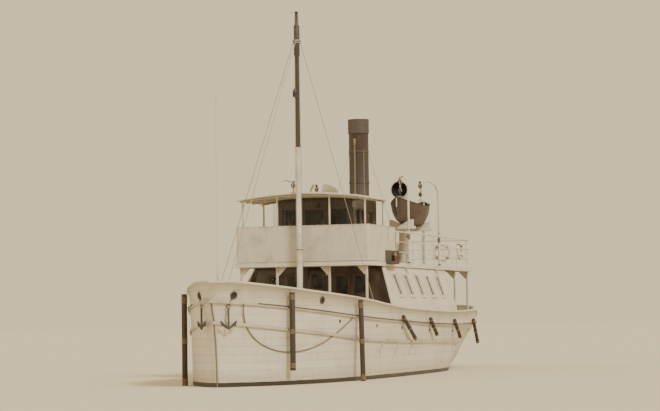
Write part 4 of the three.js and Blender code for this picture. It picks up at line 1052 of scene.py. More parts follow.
@dataclass
class HullFittings:
    """Stem band, portholes, scuppers, knees, fairleads and anchor chains."""

    ports: tuple[Flat, ...] = ((6.1, 1.04), (7.75, 0.99), (9.4, 0.94), (11.05, 0.90), (18.4, 0.79),
                               (20.0, 0.79), (21.6, 0.80))
    port_radius: float = 0.14
    scuppers: tuple[float, ...] = (4.4, 7.2, 9.9, 13.4, 16.8, 20.6, 22.8)
    knees: tuple[tuple[str, float, float, int], ...] = (
        ("bulwark_fore", 1.7, 8.2, 11), ("bulwark_aft", 18.2, 23.6, 9))
    leads: tuple[tuple[str, float, float], ...] = (
        ("bulwark_fore", 0.02, 0.16), ("bulwark_fore", 3.4, 0.22), ("bulwark_aft", 23.2, 0.22))

    def scupper_lips(self) -> None:
        """Iron lips of the deck drains, below the upper rubbing rail."""
        lip = ((0.05, -0.02), (0.052, 0.012), (0.040, 0.018), (0.030, 0.004))
        lips = []
        for side in SIDES.values():
            for aft in self.scuppers:
                place, outward = Probe.side("hull", aft, Probe.deck(aft) - 0.34, side)
                lips.append(Bench.turned(lip, place, 14, outward))
        fit(lips, "scupper_lips", IRON)

    def stanchions(self) -> None:
        """Tapered knees inside the bulwarks."""
        knees = []
        for node, first, last, count in self.knees:
            for side in SIDES.values():
                for step in range(count):
                    aft = first + (last - first) * step / (count - 1)
                    inner, _ = Probe.hit(node, at(aft, 0, Probe.deck(aft) + 0.2), (0, side, 0))
                    foot = Probe.deck(aft, inner.y * 0.94)
                    over = (inner.x, inner.y + side * 0.03, 4.0)
                    tall = Probe.hit(node, over, (0, 0, -1))[0].z - foot - 0.07
                    outline = [(-0.01, 0), (0.15, 0), (0.03, tall), (-0.01, tall)]
                    turn = Matrix(((0, 0, -side), (-side, 0, 0), (0, 1, 0))).to_4x4()
                    place = Matrix.Translation((inner.x, inner.y, foot)) @ turn
                    knees.append(Bench.placed(Bench.plate([outline], 0.045, 0.004), place))
        fit(knees, "bulwark_stanchions", WHITE_PAINT)

    def fairleads(self) -> None:
        """Lipped mooring holes in the bulwarks, outside and in."""
        lip = ((0.115, -0.012), (0.120, 0.014), (0.100, 0.034), (0.078, 0.030), (0.066, 0.006))
        throat = ((0.064, 0.0), (0.060, 0.006), (0.030, 0.008))
        lips, throats = [], []
        for side in SIDES.values():
            for node, aft, over in self.leads:
                place, outward = Probe.side(node, aft, Probe.deck(max(aft, 0.9)) + over, side)
                lips.append(Bench.turned(lip, place, 20, outward))
                # A near-black disc in each hole is painted shade.
                throats.append(Bench.turned(throat, place + outward * 0.004, 16, outward))
        fit(lips, "mooring_fairleads", IRON)
        fit(throats, "fairlead_hole_shade", HOLLOW_SHADE)

    def anchor_chains(self) -> None:
        """Short chains that the anchors hang by."""
        chains = []
        for name, side in SIDES.items():
            low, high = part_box(f"anchor_{name}")
            top = Vector(((low.x + high.x) / 2, (low.y + high.y) / 2, high.z - 0.03))
            hole, outward = Probe.side("bulwark_fore", 0.02, Probe.deck(0.9) + 0.16, side)
            chains.append(Bench.chain(top, hole + outward * 0.02, 0.085))
        fit(chains, "anchor_chains", IRON)

    def stem_band(self) -> None:
        """Half-round iron along the stem, from below the waterline to the upper rubbing rail."""
        heights = [-0.3 + 0.2 * step for step in range(15)]
        course = [Probe.hit("hull", (14.0, 0.0, up), (-1, 0, 0))[0] for up in heights]
        # The band's brown colour also draws the shade edge between the bow's sides: partly painted
        # shade.
        fit(Bench.pipe(course, 0.024, 12), "stem_band", STEM_IRON)

    def build(self) -> None:
        """Builds the hull's fittings."""
        self.stem_band()
        places = [Probe.side("hull", aft, up, side) for side in SIDES.values()
                  for aft, up in self.ports]
        Porthole(self.port_radius, RIM_PAINT, CURTAINED_PANE).fit("hull_portholes", places)
        self.scupper_lips()
        self.stanchions()
        self.fairleads()
        self.anchor_chains()


@dataclass
class BowLine:
    """Mooring line that hangs in a bight along the port bow."""

    course: tuple[Flat, ...] = ((0.25, 2.42), (0.36, 1.97), (0.75, 1.36), (1.3, 1.06), (1.9, 0.96),
                                (2.6, 1.00), (3.4, 1.18), (4.3, 1.52), (5.15, 1.96))
    diameter: float = 0.036
    nodes: tuple[str, ...] = ("hull", "rub_rail_lower", "rub_rail_upper", "fenders_port")

    def outside(self, aft: float, up: float) -> Vector:
        """Place of the line just outside whatever the bow has there."""
        hits = [Probe.side(node, aft, up, 1) for node in self.nodes]
        return at(aft, max(hit[0].y for hit in hits if hit) + self.diameter * 0.8, up)

    def build(self) -> None:
        knots = [self.outside(aft, up) for aft, up in self.course]
        rope = Bench.pipe(knots, self.diameter / 2, 10, smooth=True)
        guide = Bench.pipe(knots, 0.0, 4, smooth=True)
        path = [corner.co.copy() for corner in guide.data.vertices]
        bpy.data.objects.remove(guide)
        fit(rope, "bow_line", TARRED_ROPE)
        length = sum((far - near).length for near, far in zip(path, path[1:]))
        tuple(path[0])
        [tuple(point) for point in path]


@dataclass
class ForeDeck:
    """Bollards, windlass gear, chains and hatch fittings."""

    bollards: tuple[Flat, ...] = ((3.75, 1.35), (3.75, -1.35), (24.0, 0.95), (24.0, -0.95))

    def bollard_pairs(self) -> None:
        """Pairs of turned posts on a common sole."""
        post = ((0.085, 0.0), (0.080, 0.02), (0.062, 0.05), (0.058, 0.28), (0.082, 0.31),
                (0.085, 0.345), (0.05, 0.375))
        pieces = []
        for aft, out in self.bollards:
            up = Probe.deck(aft, out)
            pieces.append(Bench.block(at(aft + 0.30, out - 0.11, up),
                                      at(aft - 0.30, out + 0.11, up + 0.03), 0.012))
            for step in (-0.17, 0.17):
                pieces.append(Bench.turned(post, at(aft + step, out, up + 0.02), 20))
        fit(pieces, "bollards", IRON)

    def windlass(self) -> None:
        """Whelps and rings on the barrel, and the chains down to the deck pipes."""
        centre = at(2.5, 0, 2.79435)
        spins = [Matrix.Rotation(math.tau * step / 8, 4, "Y") for step in range(8)]
        whelps = [Bench.placed(Bench.block((-0.02, low, 0.098), (0.02, low + 0.32, 0.128)),
                               Matrix.Translation(centre) @ spin)
                  for spin in spins for low in (-0.40, 0.08)]
        rings = [Bench.ring(centre + Vector((0, out, 0)), 0.125, 0.022, (0, 1, 0), 24)
                 for out in (-0.43, -0.05, 0.05, 0.43)]
        fit([*whelps, *rings], "windlass_whelps", IRON, "windlass_barrel")
        pipes, chains = [], []
        rows = ((0.11, 0.0), (0.105, 0.03), (0.085, 0.055), (0.065, 0.05), (0.055, 0.02))
        for side in SIDES.values():
            hole = at(1.25, side * 0.26, Probe.deck(1.25, side * 0.26))
            pipes.append(Bench.turned(rows, hole, 18))
            chains.append(Bench.chain(centre + Vector((0.10, side * 0.26, 0.115)),
                                      hole + lift(0.05), 0.10))
        fit([*pipes, *chains], "chains_and_deck_pipes", IRON)

    def hatch(self) -> None:
        """Battens, hinges and a lifting ring on the fore hatch's lid."""
        low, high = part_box("fore_hatch_lid")
        middles = [low.x + (high.x - low.x) * share for share in (0.2, 0.5, 0.8)]
        battens = [Bench.block((x - 0.035, low.y + 0.02, high.z),
                               (x + 0.035, high.y - 0.02, high.z + 0.018)) for x in middles]
        fit(battens, "hatch_battens", TEAK_Y, "fore_hatch_lid")
        hinges = [Bench.block((high.x - 0.30, out - 0.03, high.z + 0.002),
                              (high.x - 0.005, out + 0.03, high.z + 0.014), 0.004)
                  for out in (-0.3, 0.3)]
        grip = Bench.ring((low.x + 0.10, 0, high.z + 0.02), 0.055, 0.011, UP, 20)
        fit([*hinges, grip], "hatch_irons", IRON, "fore_hatch_lid")

    def build(self) -> None:
        """Builds the gear of the fore deck."""
        self.bollard_pairs()
        self.windlass()
        self.hatch()


@dataclass(frozen=True)
class Sash:
    """Glazed sash in an opening, with a moulding round it on the wall."""

    wide: float
    high: float
    deep: float = 0.045
    border: float = 0.055

    def wood(self, wall: Matrix) -> Piece:
        """Moulding, stiles and sill, in the frame of the opening's foot."""
        half, high, edge = self.wide / 2, self.high, self.border
        moulding = Bench.plate([rect(-half - edge, -edge, half + edge, high + edge),
                                rect(-half, 0, half, high)], 0.02)
        stiles = Bench.plate([rect(-half + 0.004, 0.004, half - 0.004, high - 0.004),
                              rect(-half + 0.035, 0.04, half - 0.035, high - 0.035)], 0.028)
        sill = Bench.block((-half - edge - 0.02, -edge - 0.015, 0.0),
                           (half + edge + 0.02, -edge + 0.02, 0.045))
        pieces = [Bench.placed(moulding, Matrix.Translation((0, 0, 0.010))),
                  Bench.placed(stiles, Matrix.Translation((0, 0, -self.deep / 2))), sill]
        return Bench.placed(Bench.joined(pieces), wall)

    def glass(self, wall: Matrix) -> Piece:
        """Bevelled pane."""
        half, high = self.wide / 2, self.high
        pane = Bench.plate([rect(-half + 0.03, 0.035, half - 0.03, high - 0.03)], 0.006, 0.0015)
        return Bench.placed(pane, wall @ Matrix.Translation((0, 0, -self.deep / 2)))


@dataclass
class Saloon:
    """Windows, curtains, corner boards and seats of the saloon."""

    side_aft: tuple[float, ...] = (10.45, 11.85, 13.25, 14.65, 16.05)
    side_wide: float = 0.50
    side_low: float = 2.69
    side_high: float = 3.40
    end_low: float = 2.75
    end_high: float = 3.38
    end_wide: float = 0.42
    rod_in: float = 0.085
    folds: int = 40

    def side_walls(self) -> list[tuple[str, float, Matrix, float]]:
        """Side name, distance aft, frame and height of each side window on the leaning walls."""
        found = []
        for name, side in SIDES.items():
            for aft in self.side_aft:
                hits = [Probe.side(f"saloon_side_{name}", aft + step, self.side_low, side)
                        for step in (-0.33, 0.33)]
                wall = facing((hits[0][0] + hits[1][0]) / 2, hits[0][1] + hits[1][1])
                rise = wall.to_3x3() @ Vector((0, 1, 0))
                found.append((name, aft, wall, (self.side_high - self.side_low) / rise.z))
        return found

    def curtains(self, name: str, aft: float, wall: Matrix, high: float) -> None:
        """Pair of gathered curtains behind a side window, drawn so that a narrow gap stays open."""
        half = self.side_wide / 2
        hang = (wall @ Matrix.Translation((0, high / 2, -self.rod_in))
                @ Matrix.Rotation(-math.pi / 2, 4, "X"))
        for label, start, end in (("fore", -half - 0.04, -0.045), ("aft", 0.045, half + 0.04)):
            points = [(start + (end - start) * step / self.folds,
                       0.014 * math.sin(step * 0.95) + 0.004 * math.sin(step * 0.4))
                      for step in range(self.folds + 1)]
            flat = sum(math.dist(near, far) for near, far in zip(points, points[1:]))
            tall = high - 0.02
            cloth = Bench.placed(Bench.ribbon(points, -tall / 2, tall / 2, 0, 0.0), hang)
            fit(cloth, f"curtain_{name}_{round(aft * 100)}_{label}", CURTAIN, degrees=70)

    def windows(self) -> None:
        """Sashes, glass and curtains."""
        side_walls = self.side_walls()
        wood = [Sash(self.side_wide, high).wood(wall) for _, _, wall, high in side_walls]
        glass = [Sash(self.side_wide, high).glass(wall) for _, _, wall, high in side_walls]
        fit(wood, "side_window_frames", WHITE_PAINT)
        fit(glass, "side_window_panes", CURTAINED_PANE)
        rods = []
        for _, _, wall, high in side_walls:
            ends = [wall @ Vector((step, high - 0.005, -self.rod_in)) for step in (-0.31, 0.31)]
            rods.append(Bench.pipe(ends, 0.007, 8))
            rods += [Bench.turned(((0.012, -0.01), (0.015, 0), (0.008, 0.01)), end, 8)
                     for end in ends]
        fit(rods, "curtain_rods", BRASS)
        for name, aft, wall, high in side_walls:
            self.curtains(name, aft, wall, high)
        high = self.end_high - self.end_low
        # The fore frames are dark teak like the fore bulkhead, partly painted shade under the upper
        # deck; the aft ones are white.
        for name, face, outward, outs, finish in (
                ("fore", FORE_BULKHEAD, 1, (-1.5, -0.85, 0.85, 1.5), TEAK_Z),
                ("aft", AFT_BULKHEAD, -1, (-1.5, 1.5), WHITE_PAINT)):
            walls = [facing(Vector((face, out, self.end_low)), (outward, 0, 0)) for out in outs]
            sash = Sash(self.end_wide, high)
            fit([sash.wood(wall) for wall in walls], f"{name}_window_frames", finish)
            fit([sash.glass(wall) for wall in walls], f"{name}_window_panes", PANE)

    def corner_boards(self) -> None:
        """Boards over the joints between the bulkheads and the leaning sides."""
        # The fore corner boards are dark teak for the same partly painted shade at the fore end.
        for name, face, aft, outward, reach, finish in (
                ("fore", FORE_BULKHEAD, 9.62, 1, -0.004, TEAK_Z),
                ("aft", AFT_BULKHEAD, 17.45, -1, 0.052, WHITE_PAINT)):
            boards = []
            low, high = Probe.deck(aft) + 0.004, 3.66
            for side_name, side in SIDES.items():
                rims = [Probe.hit(node, at(aft, 0, low + 0.2), (0, side, 0))
                        for node in ("bulwark_fore", "bulwark_aft")]
                rim = next(abs(hit[0].y) for hit in rims if hit) + 0.01
                wall = [abs(Probe.hit(f"saloon_side_{side_name}", at(aft, 0, up),
                                      (0, side, 0))[0].y) for up in (2.9, 3.5)]
                lean = (wall[1] - wall[0]) / 0.6
                rail = low + 0.52
                foot, head = wall[0] + (rail - 2.9) * lean, wall[1] + (high - 3.5) * lean
                outline = [(rim - 0.12, low), (rim, low), (rim, rail - 0.06), (foot + reach, rail),
                           (head + reach, high), (head - 0.10, high), (foot - 0.13, rail)]
                board = Bench.plate([[(across * side * outward, up) for across, up in outline]],
                                    0.022, 0.003)
                bulkhead = facing(Vector((face + outward * 0.010, 0, 0)), (outward, 0, 0))
                boards.append(Bench.placed(board, bulkhead))
            fit(boards, f"{name}_corner_boards", finish)

    def seats(self) -> None:
        """Slatted seats along the saloon's sides and two pedestal tables."""
        slats = [Bench.block((-5.6, out, 2.34), (1.55, out + 0.07, 2.362), 0.005)
                 for out in (1.72, 1.80, 1.88, 1.96)]
        legs = [Bench.block((x - 0.025, 1.74, 1.80), (x + 0.025, 2.00, 2.342))
                for x in (-5.4, -3.6, -1.9, -0.2, 1.4)]
        table = ((0.20, 0.0), (0.19, 0.03), (0.04, 0.06), (0.035, 0.62), (0.12, 0.68), (0.42, 0.69),
                 (0.42, 0.715), (0.40, 0.725))
        tables = [Bench.turned(table, at(aft, 0, Probe.deck(aft)), 28) for aft in (10.6, 11.5)]
        fit([Bench.both_sides(Bench.joined([*slats, *legs])), *tables], "saloon_seats_and_tables",
            ASH)

    def build(self) -> None:
        """Builds the saloon's fine pieces."""
        self.windows()
        self.corner_boards()
        self.seats()


@dataclass(frozen=True)
class DoorSet:
    """Glass, mouldings, hinges and handles of a hinged door."""

    node: str
    outward: Point
    pane_wide: float
    pane_low: float
    pane_high: float
    hinge_right: bool
    knob_up: float = 0.92

    def build(self) -> None:
        """Dresses the door's leaf; its pieces ride the leaf."""
        low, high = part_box(self.node)
        outward = Vector(self.outward)
        middle = (low + high) / 2
        thick = abs((high - low).dot(outward))
        foot = Vector((middle.x, middle.y, low.z)) + outward * thick / 2
        wall = facing(foot, outward)
        wide = (high - low).dot(Vector((abs(outward.y), abs(outward.x), 0)))
        sash = Sash(self.pane_wide, self.pane_high - self.pane_low, thick, 0.03)
        sill = self.pane_low - low.z
        opening = wall @ Matrix.Translation((0, sill, 0))
        half = wide / 2 - 0.09
        panel = Bench.plate([rect(-half, 0.12, half, sill - 0.12),
                             rect(-half + 0.035, 0.155, half - 0.035, sill - 0.155)], 0.018)
        inner = Bench.copy(panel, Matrix.Translation((0, 0, -thick)))
        pieces = [sash.wood(opening), Bench.placed(panel, wall), Bench.placed(inner, wall)]
        fit(pieces, f"{self.node}_mouldings", TEAK_Z, self.node)
        fit(sash.glass(opening), f"{self.node}_pane", PANE, self.node)
        edge = wide / 2 if self.hinge_right else -wide / 2
        latch = -edge * 0.84
        knob = ((0.026, 0.0), (0.026, 0.006), (0.011, 0.010), (0.010, 0.034), (0.024, 0.042),
                (0.027, 0.055), (0.014, 0.066))
        back = (Matrix.Translation((0, 0, -thick)) @ Matrix.Rotation(math.pi, 4, "Y")
                @ Matrix.Translation((-2 * latch, 0, 0)))
        metal = [Bench.placed(Bench.turned(knob, (latch, self.knob_up, 0.0), 14), place)
                 for place in (Matrix.Identity(4), back)]
        for share in (0.14, 0.5, 0.86):
            up = (high.z - low.z) * share
            near, far = (edge - math.copysign(gap, edge) for gap in (0.11, 0.004))
            metal.append(Bench.block((near, up - 0.03, -0.001), (far, up + 0.03, 0.005), 0.001))
        fit(Bench.placed(Bench.joined(metal), wall), f"{self.node}_brasses", BRASS, self.node)


@dataclass(frozen=True)
class Run:
    """Straight run of railing."""

    start: Vector
    end: Vector
    posts: int

    def feet(self) -> list[Vector]:
        """Places of the stanchions' feet."""
        return [self.start.lerp(self.end, (number + 0.12) / (self.posts - 0.76))
                for number in range(self.posts)]


@dataclass
class Railings:
    """Round rails on ball stanchions, in place of the plain square bars."""

    deck: float = UPPER_DECK
    out: float = 2.235
    aft: float = 21.33
    rise: float = 1.06
    heights: tuple[float, ...] = (0.37, 0.72)
    bridge_fore: float = 7.95
    bridge_aft: float = 11.0
    bridge_half: float = 2.22
    bridge_rise: float = 1.15
    buoy: float = 0.29
    well: tuple[float, float, float, float] = (17.56, 19.16, -0.98, -2.02)

    def stanchion(self, rise: float, heights: Sequence[float]) -> Piece:
        """Turned stanchion with a ball at each rail, standing at the origin."""
        rows = [(0.046, 0.0), (0.046, 0.012), (0.030, 0.022), (0.019, 0.045)]
        for up in heights:
            rows += [(0.017, up - 0.034), (0.029, up - 0.018), (0.033, up), (0.029, up + 0.018),
                     (0.017, up + 0.034)]
        rows += [(0.016, rise - 0.03), (0.020, rise - 0.018), (0.020, rise)]
        return Bench.turned(rows, (0, 0, 0), 12)

    def rails(self, runs: Sequence[Run], rise: float, heights: Sequence[float]) -> Piece:
        """Rails and stanchions of some runs, as one mesh."""
        feet = [foot for run in runs for foot in run.feet()]
        pieces = [Bench.row(self.stanchion(rise, heights), feet)]
        for run in runs:
            for up, radius in [*((up, 0.013) for up in heights), (rise, 0.025)]:
                ends = [end + lift(up) for end in (run.start, run.end)]
                pieces.append(Bench.pipe(ends, radius, 12))
        return Bench.joined(pieces)

    def lifebuoys(self) -> None:
        """Ring buoys hung inside the railings near the stern, with their grab lines."""
        places = [((STEM - self.aft + 0.10, out, self.deck + 0.62), (1, 0, 0))
                  for out in (-1.2, 1.2)]
        places += [((STEM - 20.3, side * (self.out - 0.10), self.deck + 0.62), (0, side, 0))
                   for side in (1, -1)]
        rings = [Bench.ring(place, self.buoy, 0.058, along, 36) for place, along in places]
        fit(rings, "lifebuoys", WHITE_PAINT)
        lashings = []
        for place, along in places:
            wall = facing(Vector(place), along)
            for spoke in around(4, 1.0, 0.5):
                spot = wall @ (spoke * self.buoy)
                ahead = wall.to_3x3() @ Vector((-spoke.y, spoke.x, 0)) * 0.035
                lashings.append(Bench.coil([spot - ahead, spot + ahead], 0.060, 0.018, 0.006))
        fit(lashings, "lifebuoy_lashings", HEMP)

    def build(self) -> None:
        """Builds the railings of both decks."""
        for name, side in SIDES.items():
            run = Run(at(self.bridge_aft + 0.06, side * self.out, self.deck),
                      at(self.aft - 0.06, side * self.out, self.deck), 7)
            node = f"upper_railing_{name}"
            fit(self.rails([run], self.rise, self.heights), f"{node}_turned", WHITE_PAINT,
                stands_for=(node,), degrees=50)
        last = Run(at(self.aft, -self.out, self.deck), at(self.aft, self.out, self.deck), 5)
        fit(self.rails([last], self.rise, self.heights), "upper_railing_aft_turned", WHITE_PAINT,
            stands_for=("upper_railing_aft",), degrees=50)
        half = self.bridge_half
        corner = {side: at(self.bridge_fore, side * half, self.deck) for side in (1, -1)}
        bridge = [Run(corner[-1], corner[1], 5)]
        bridge += [Run(corner[side], at(self.bridge_aft, side * half, self.deck), 4)
                   for side in (1, -1)]
        fit(self.rails(bridge, self.bridge_rise, (0.52,)), "bridge_rail_turned", WHITE_PAINT,
            stands_for=("bridge_rail",), degrees=50)
        fore, aft, near, far = self.well
        well = [Run(at(fore, out, self.deck), at(aft, out, self.deck), 4) for out in (far, near)]
        well.append(Run(at(aft, far, self.deck), at(aft, near, self.deck), 2))
        fit(self.rails(well, 0.92, (0.46,)), "stairwell_rail", WHITE_PAINT, degrees=50)
        self.lifebuoys()


@dataclass
class Dodger:
    """Canvas round the bridge rail, laced to it, in place of the plain screen."""

    fore: float = 7.894
    aft: float = 11.0
    half: float = 2.278
    low: float = 3.825
    high: float = 4.985
    cut: float = 0.05

    def course(self, inset: float = 0.0, spacing: float = 0.16) -> list[Flat]:
        """Points of the cloth in plan, from port aft round the front to starboard aft."""
        half, fore, aft = self.half - inset, STEM - self.fore - inset, STEM - self.aft
        near = fore - self.cut
        corners = [(aft, half), (near, half), (fore, half - self.cut), (fore, self.cut - half),
                   (near, -half), (aft, -half)]
        points = [corners[0]]
        for start, end in zip(corners, corners[1:]):
            steps = max(round(math.dist(start, end) / spacing), 1)
            points += [tuple(near + (far - near) * step / steps for near, far in zip(start, end))
                       for step in range(1, steps + 1)]
        return points

    def build(self) -> None:
        """Builds the cloth, its hems and its lacing."""
        points = self.course()
        cloth = Bench.ribbon(points, self.low, self.high, 7, 0.020)
        fit(cloth, "bridge_dodger_cloth", CANVAS, stands_for=("bridge_dodger",), degrees=60)
        hems = [Bench.pipe([(x, y, up) for x, y in points], 0.009, 8)
                for up in (self.low, self.high)]
        hem = fit(hems, "dodger_hems", CANVAS)
        rail = [(x, y, self.high - 0.028) for x, y in self.course(0.045)]
        lacing = fit(Bench.coil(rail, 0.050, 0.21, 0.006), "dodger_lacing", HEMP)
        length = sum(math.dist(near, far) for near, far in zip(points, points[1:]))


@dataclass
class Bridge:
    """Roof trim, wheelhouse windows and the helmsman's instruments."""

    roof_top: float = 5.90
    crown: float = 0.18
    thick: float = 0.06
    half: float = 2.23
    fore: float = 7.83
    waist: float = 10.25
    neck_half: float = 1.43
    neck_aft: float = 12.25
    sill: float = 4.93
    head: float = 5.60

    def roof_up(self, out: float) -> float:
        """Height of the crowned roof's top."""
        return self.roof_top + self.crown * (1 - (out / self.half) ** 2)

    def arc(self, aft: float, half: float, drop: float) -> list[Vector]:
        """Points across under the roof, lowered from its top."""
        return [at(aft, half * (step / 8 - 1), self.roof_up(half * (step / 8 - 1)) - drop)
                for step in range(17)]

    def roof_trim(self) -> None:
        """Edge mouldings, beams under the roof and battens over it."""
        mid, trim = self.thick / 2, 0.026
        pieces = [Bench.pipe(self.arc(self.fore + 0.02, self.half - 0.02, mid), trim, 12)]
        runs = [(self.fore + 0.02, self.waist - 0.02, self.half - 0.02, -mid, trim, 12),
                (self.waist, self.neck_aft - 0.02, self.neck_half - 0.02, -mid, trim, 12)]
        runs += [(self.fore + 0.03, self.waist - 0.03, out, 0.002, 0.009, 8)
                 for out in (0.35, 0.85, 1.35, 1.85)]
        for side in (1, -1):
            for start, end, out, over, radius, sides in runs:
                ends = [at(aft, side * out, self.roof_up(out) + over) for aft in (start, end)]
                pieces.append(Bench.pipe(ends, radius, sides))
        neck = self.arc(self.neck_aft - 0.02, self.neck_half - 0.02, mid)
        pieces.append(Bench.pipe(neck, trim, 12))
        pieces += [Bench.pipe(self.arc(aft, self.half - 0.05, self.thick + 0.028), 0.028, 8)
                   for aft in (8.08, 8.65, 9.2, 10.15)]
        fit(pieces, "bridge_roof_trim", WHITE_PAINT, degrees=50)

    def windows(self) -> None:
        """Sashes and panels all round the wheelhouse."""
        lights = [(Vector((2.2, out, 0)), (1, 0, 0), 0.66, 0.30) for out in (-0.8, 0.0, 0.8)]
        lights += [(Vector((-0.6, out, 0)), (-1, 0, 0), 0.72, 0.40) for out in (-0.66, 0.66)]
        lights += [(at(aft, side * 1.3, 0), (0, side, 0), 0.64, 0.30) for side in (1, -1)
                   for aft in (9.75, 10.55)]
        wood, glass, panels = [], [], []
        for foot, outward, wide, half in lights:
            sash = Sash(wide, self.head - self.sill, border=0.05)
            wall = facing(foot + lift(self.sill), outward)
            wood.append(sash.wood(wall))
            glass.append(sash.glass(wall))
            panel = Bench.plate([rect(-half, 0.12, half, 0.98),
                                 rect(0.045 - half, 0.165, half - 0.045, 0.935)], 0.018)
            wall = facing(foot + Vector(outward) * 0.008 + lift(3.82), outward)
            panels.append(Bench.placed(panel, wall))
        fit(wood, "wheelhouse_sashes", TEAK_Z)
        fit(glass, "wheelhouse_panes", PANE)
        fit(panels, "wheelhouse_panels", TEAK_Z)

    def helm(self) -> None:
        """Steering wheel with turned spokes, in place of the plain one."""
        centre, ahead = Vector((1.42, 0, 4.72)), (1, 0, 0)
        wood = [Bench.ring(centre, 0.33, 0.028, ahead, 40), Bench.ring(centre, 0.16, 0.018, ahead)]
        spoke = ((0.020, 0.05), (0.015, 0.09), (0.021, 0.15), (0.014, 0.22), (0.019, 0.29),
                 (0.016, 0.345), (0.012, 0.36), (0.019, 0.385), (0.017, 0.405), (0.009, 0.42))
        wood += [Bench.turned(spoke, centre, 10, (0, way.x, way.y)) for way in around(8, 1.0)]
        fit(wood, "helm_wheel", TEAK_X, "steering_wheel", ("steering_wheel",), 50)
        hub = ((0.062, -0.078), (0.062, -0.07), (0.045, -0.05), (0.070, -0.03), (0.070, 0.02),
               (0.040, 0.032), (0.018, 0.038))
        fit(Bench.turned(hub, centre, 24, ahead), "helm_hub", BRASS, "steering_wheel")

    def instruments(self) -> None:
        """Binnacle, engine telegraph and the bell under the roof."""
        binnacle = ((0.15, 0), (0.14, 0.04), (0.08, 0.08), (0.075, 0.78), (0.12, 0.82),
                    (0.15, 0.86), (0.15, 1.0), (0.12, 1.10), (0.05, 1.17))
        pedestal = ((0.12, 0), (0.11, 0.03), (0.045, 0.07), (0.04, 0.86), (0.10, 0.90))
        dial = ((0.13, -0.06), (0.14, -0.045), (0.14, 0.045), (0.13, 0.06))
        lever = [(1.72, -0.70, 4.83), (1.72, -0.70, 5.04), (1.72, -0.74, 5.08)]
        bell = ((0.105, 0), (0.098, 0.012), (0.070, 0.05), (0.058, 0.11), (0.030, 0.15),
                (0.014, 0.17))
        clapper = ((0.012, 0), (0.020, 0.02), (0.008, 0.05))
        pieces = [Bench.turned(binnacle, (1.86, 0, WHEELHOUSE_FLOOR), 28),
                  Bench.turned(pedestal, (1.72, -0.62, WHEELHOUSE_FLOOR), 22),
                  Bench.turned(dial, (1.72, -0.62, 4.83), 26, (0, 1, 0)),
                  Bench.pipe(lever, 0.011, 8), Bench.turned(bell, (2.62, 0, 5.66), 24),
                  Bench.pipe([(2.62, 0, 5.82), (2.62, 0, 5.99)], 0.010, 8),
                  Bench.turned(clapper, (2.62, 0, 5.635), 10)]
        fit(pieces, "bridge_instruments", OLD_COPPER)

    def build(self) -> None:
        """Builds the bridge's fine pieces."""
        self.roof_trim()
        self.windows()
        self.helm()
        self.instruments()


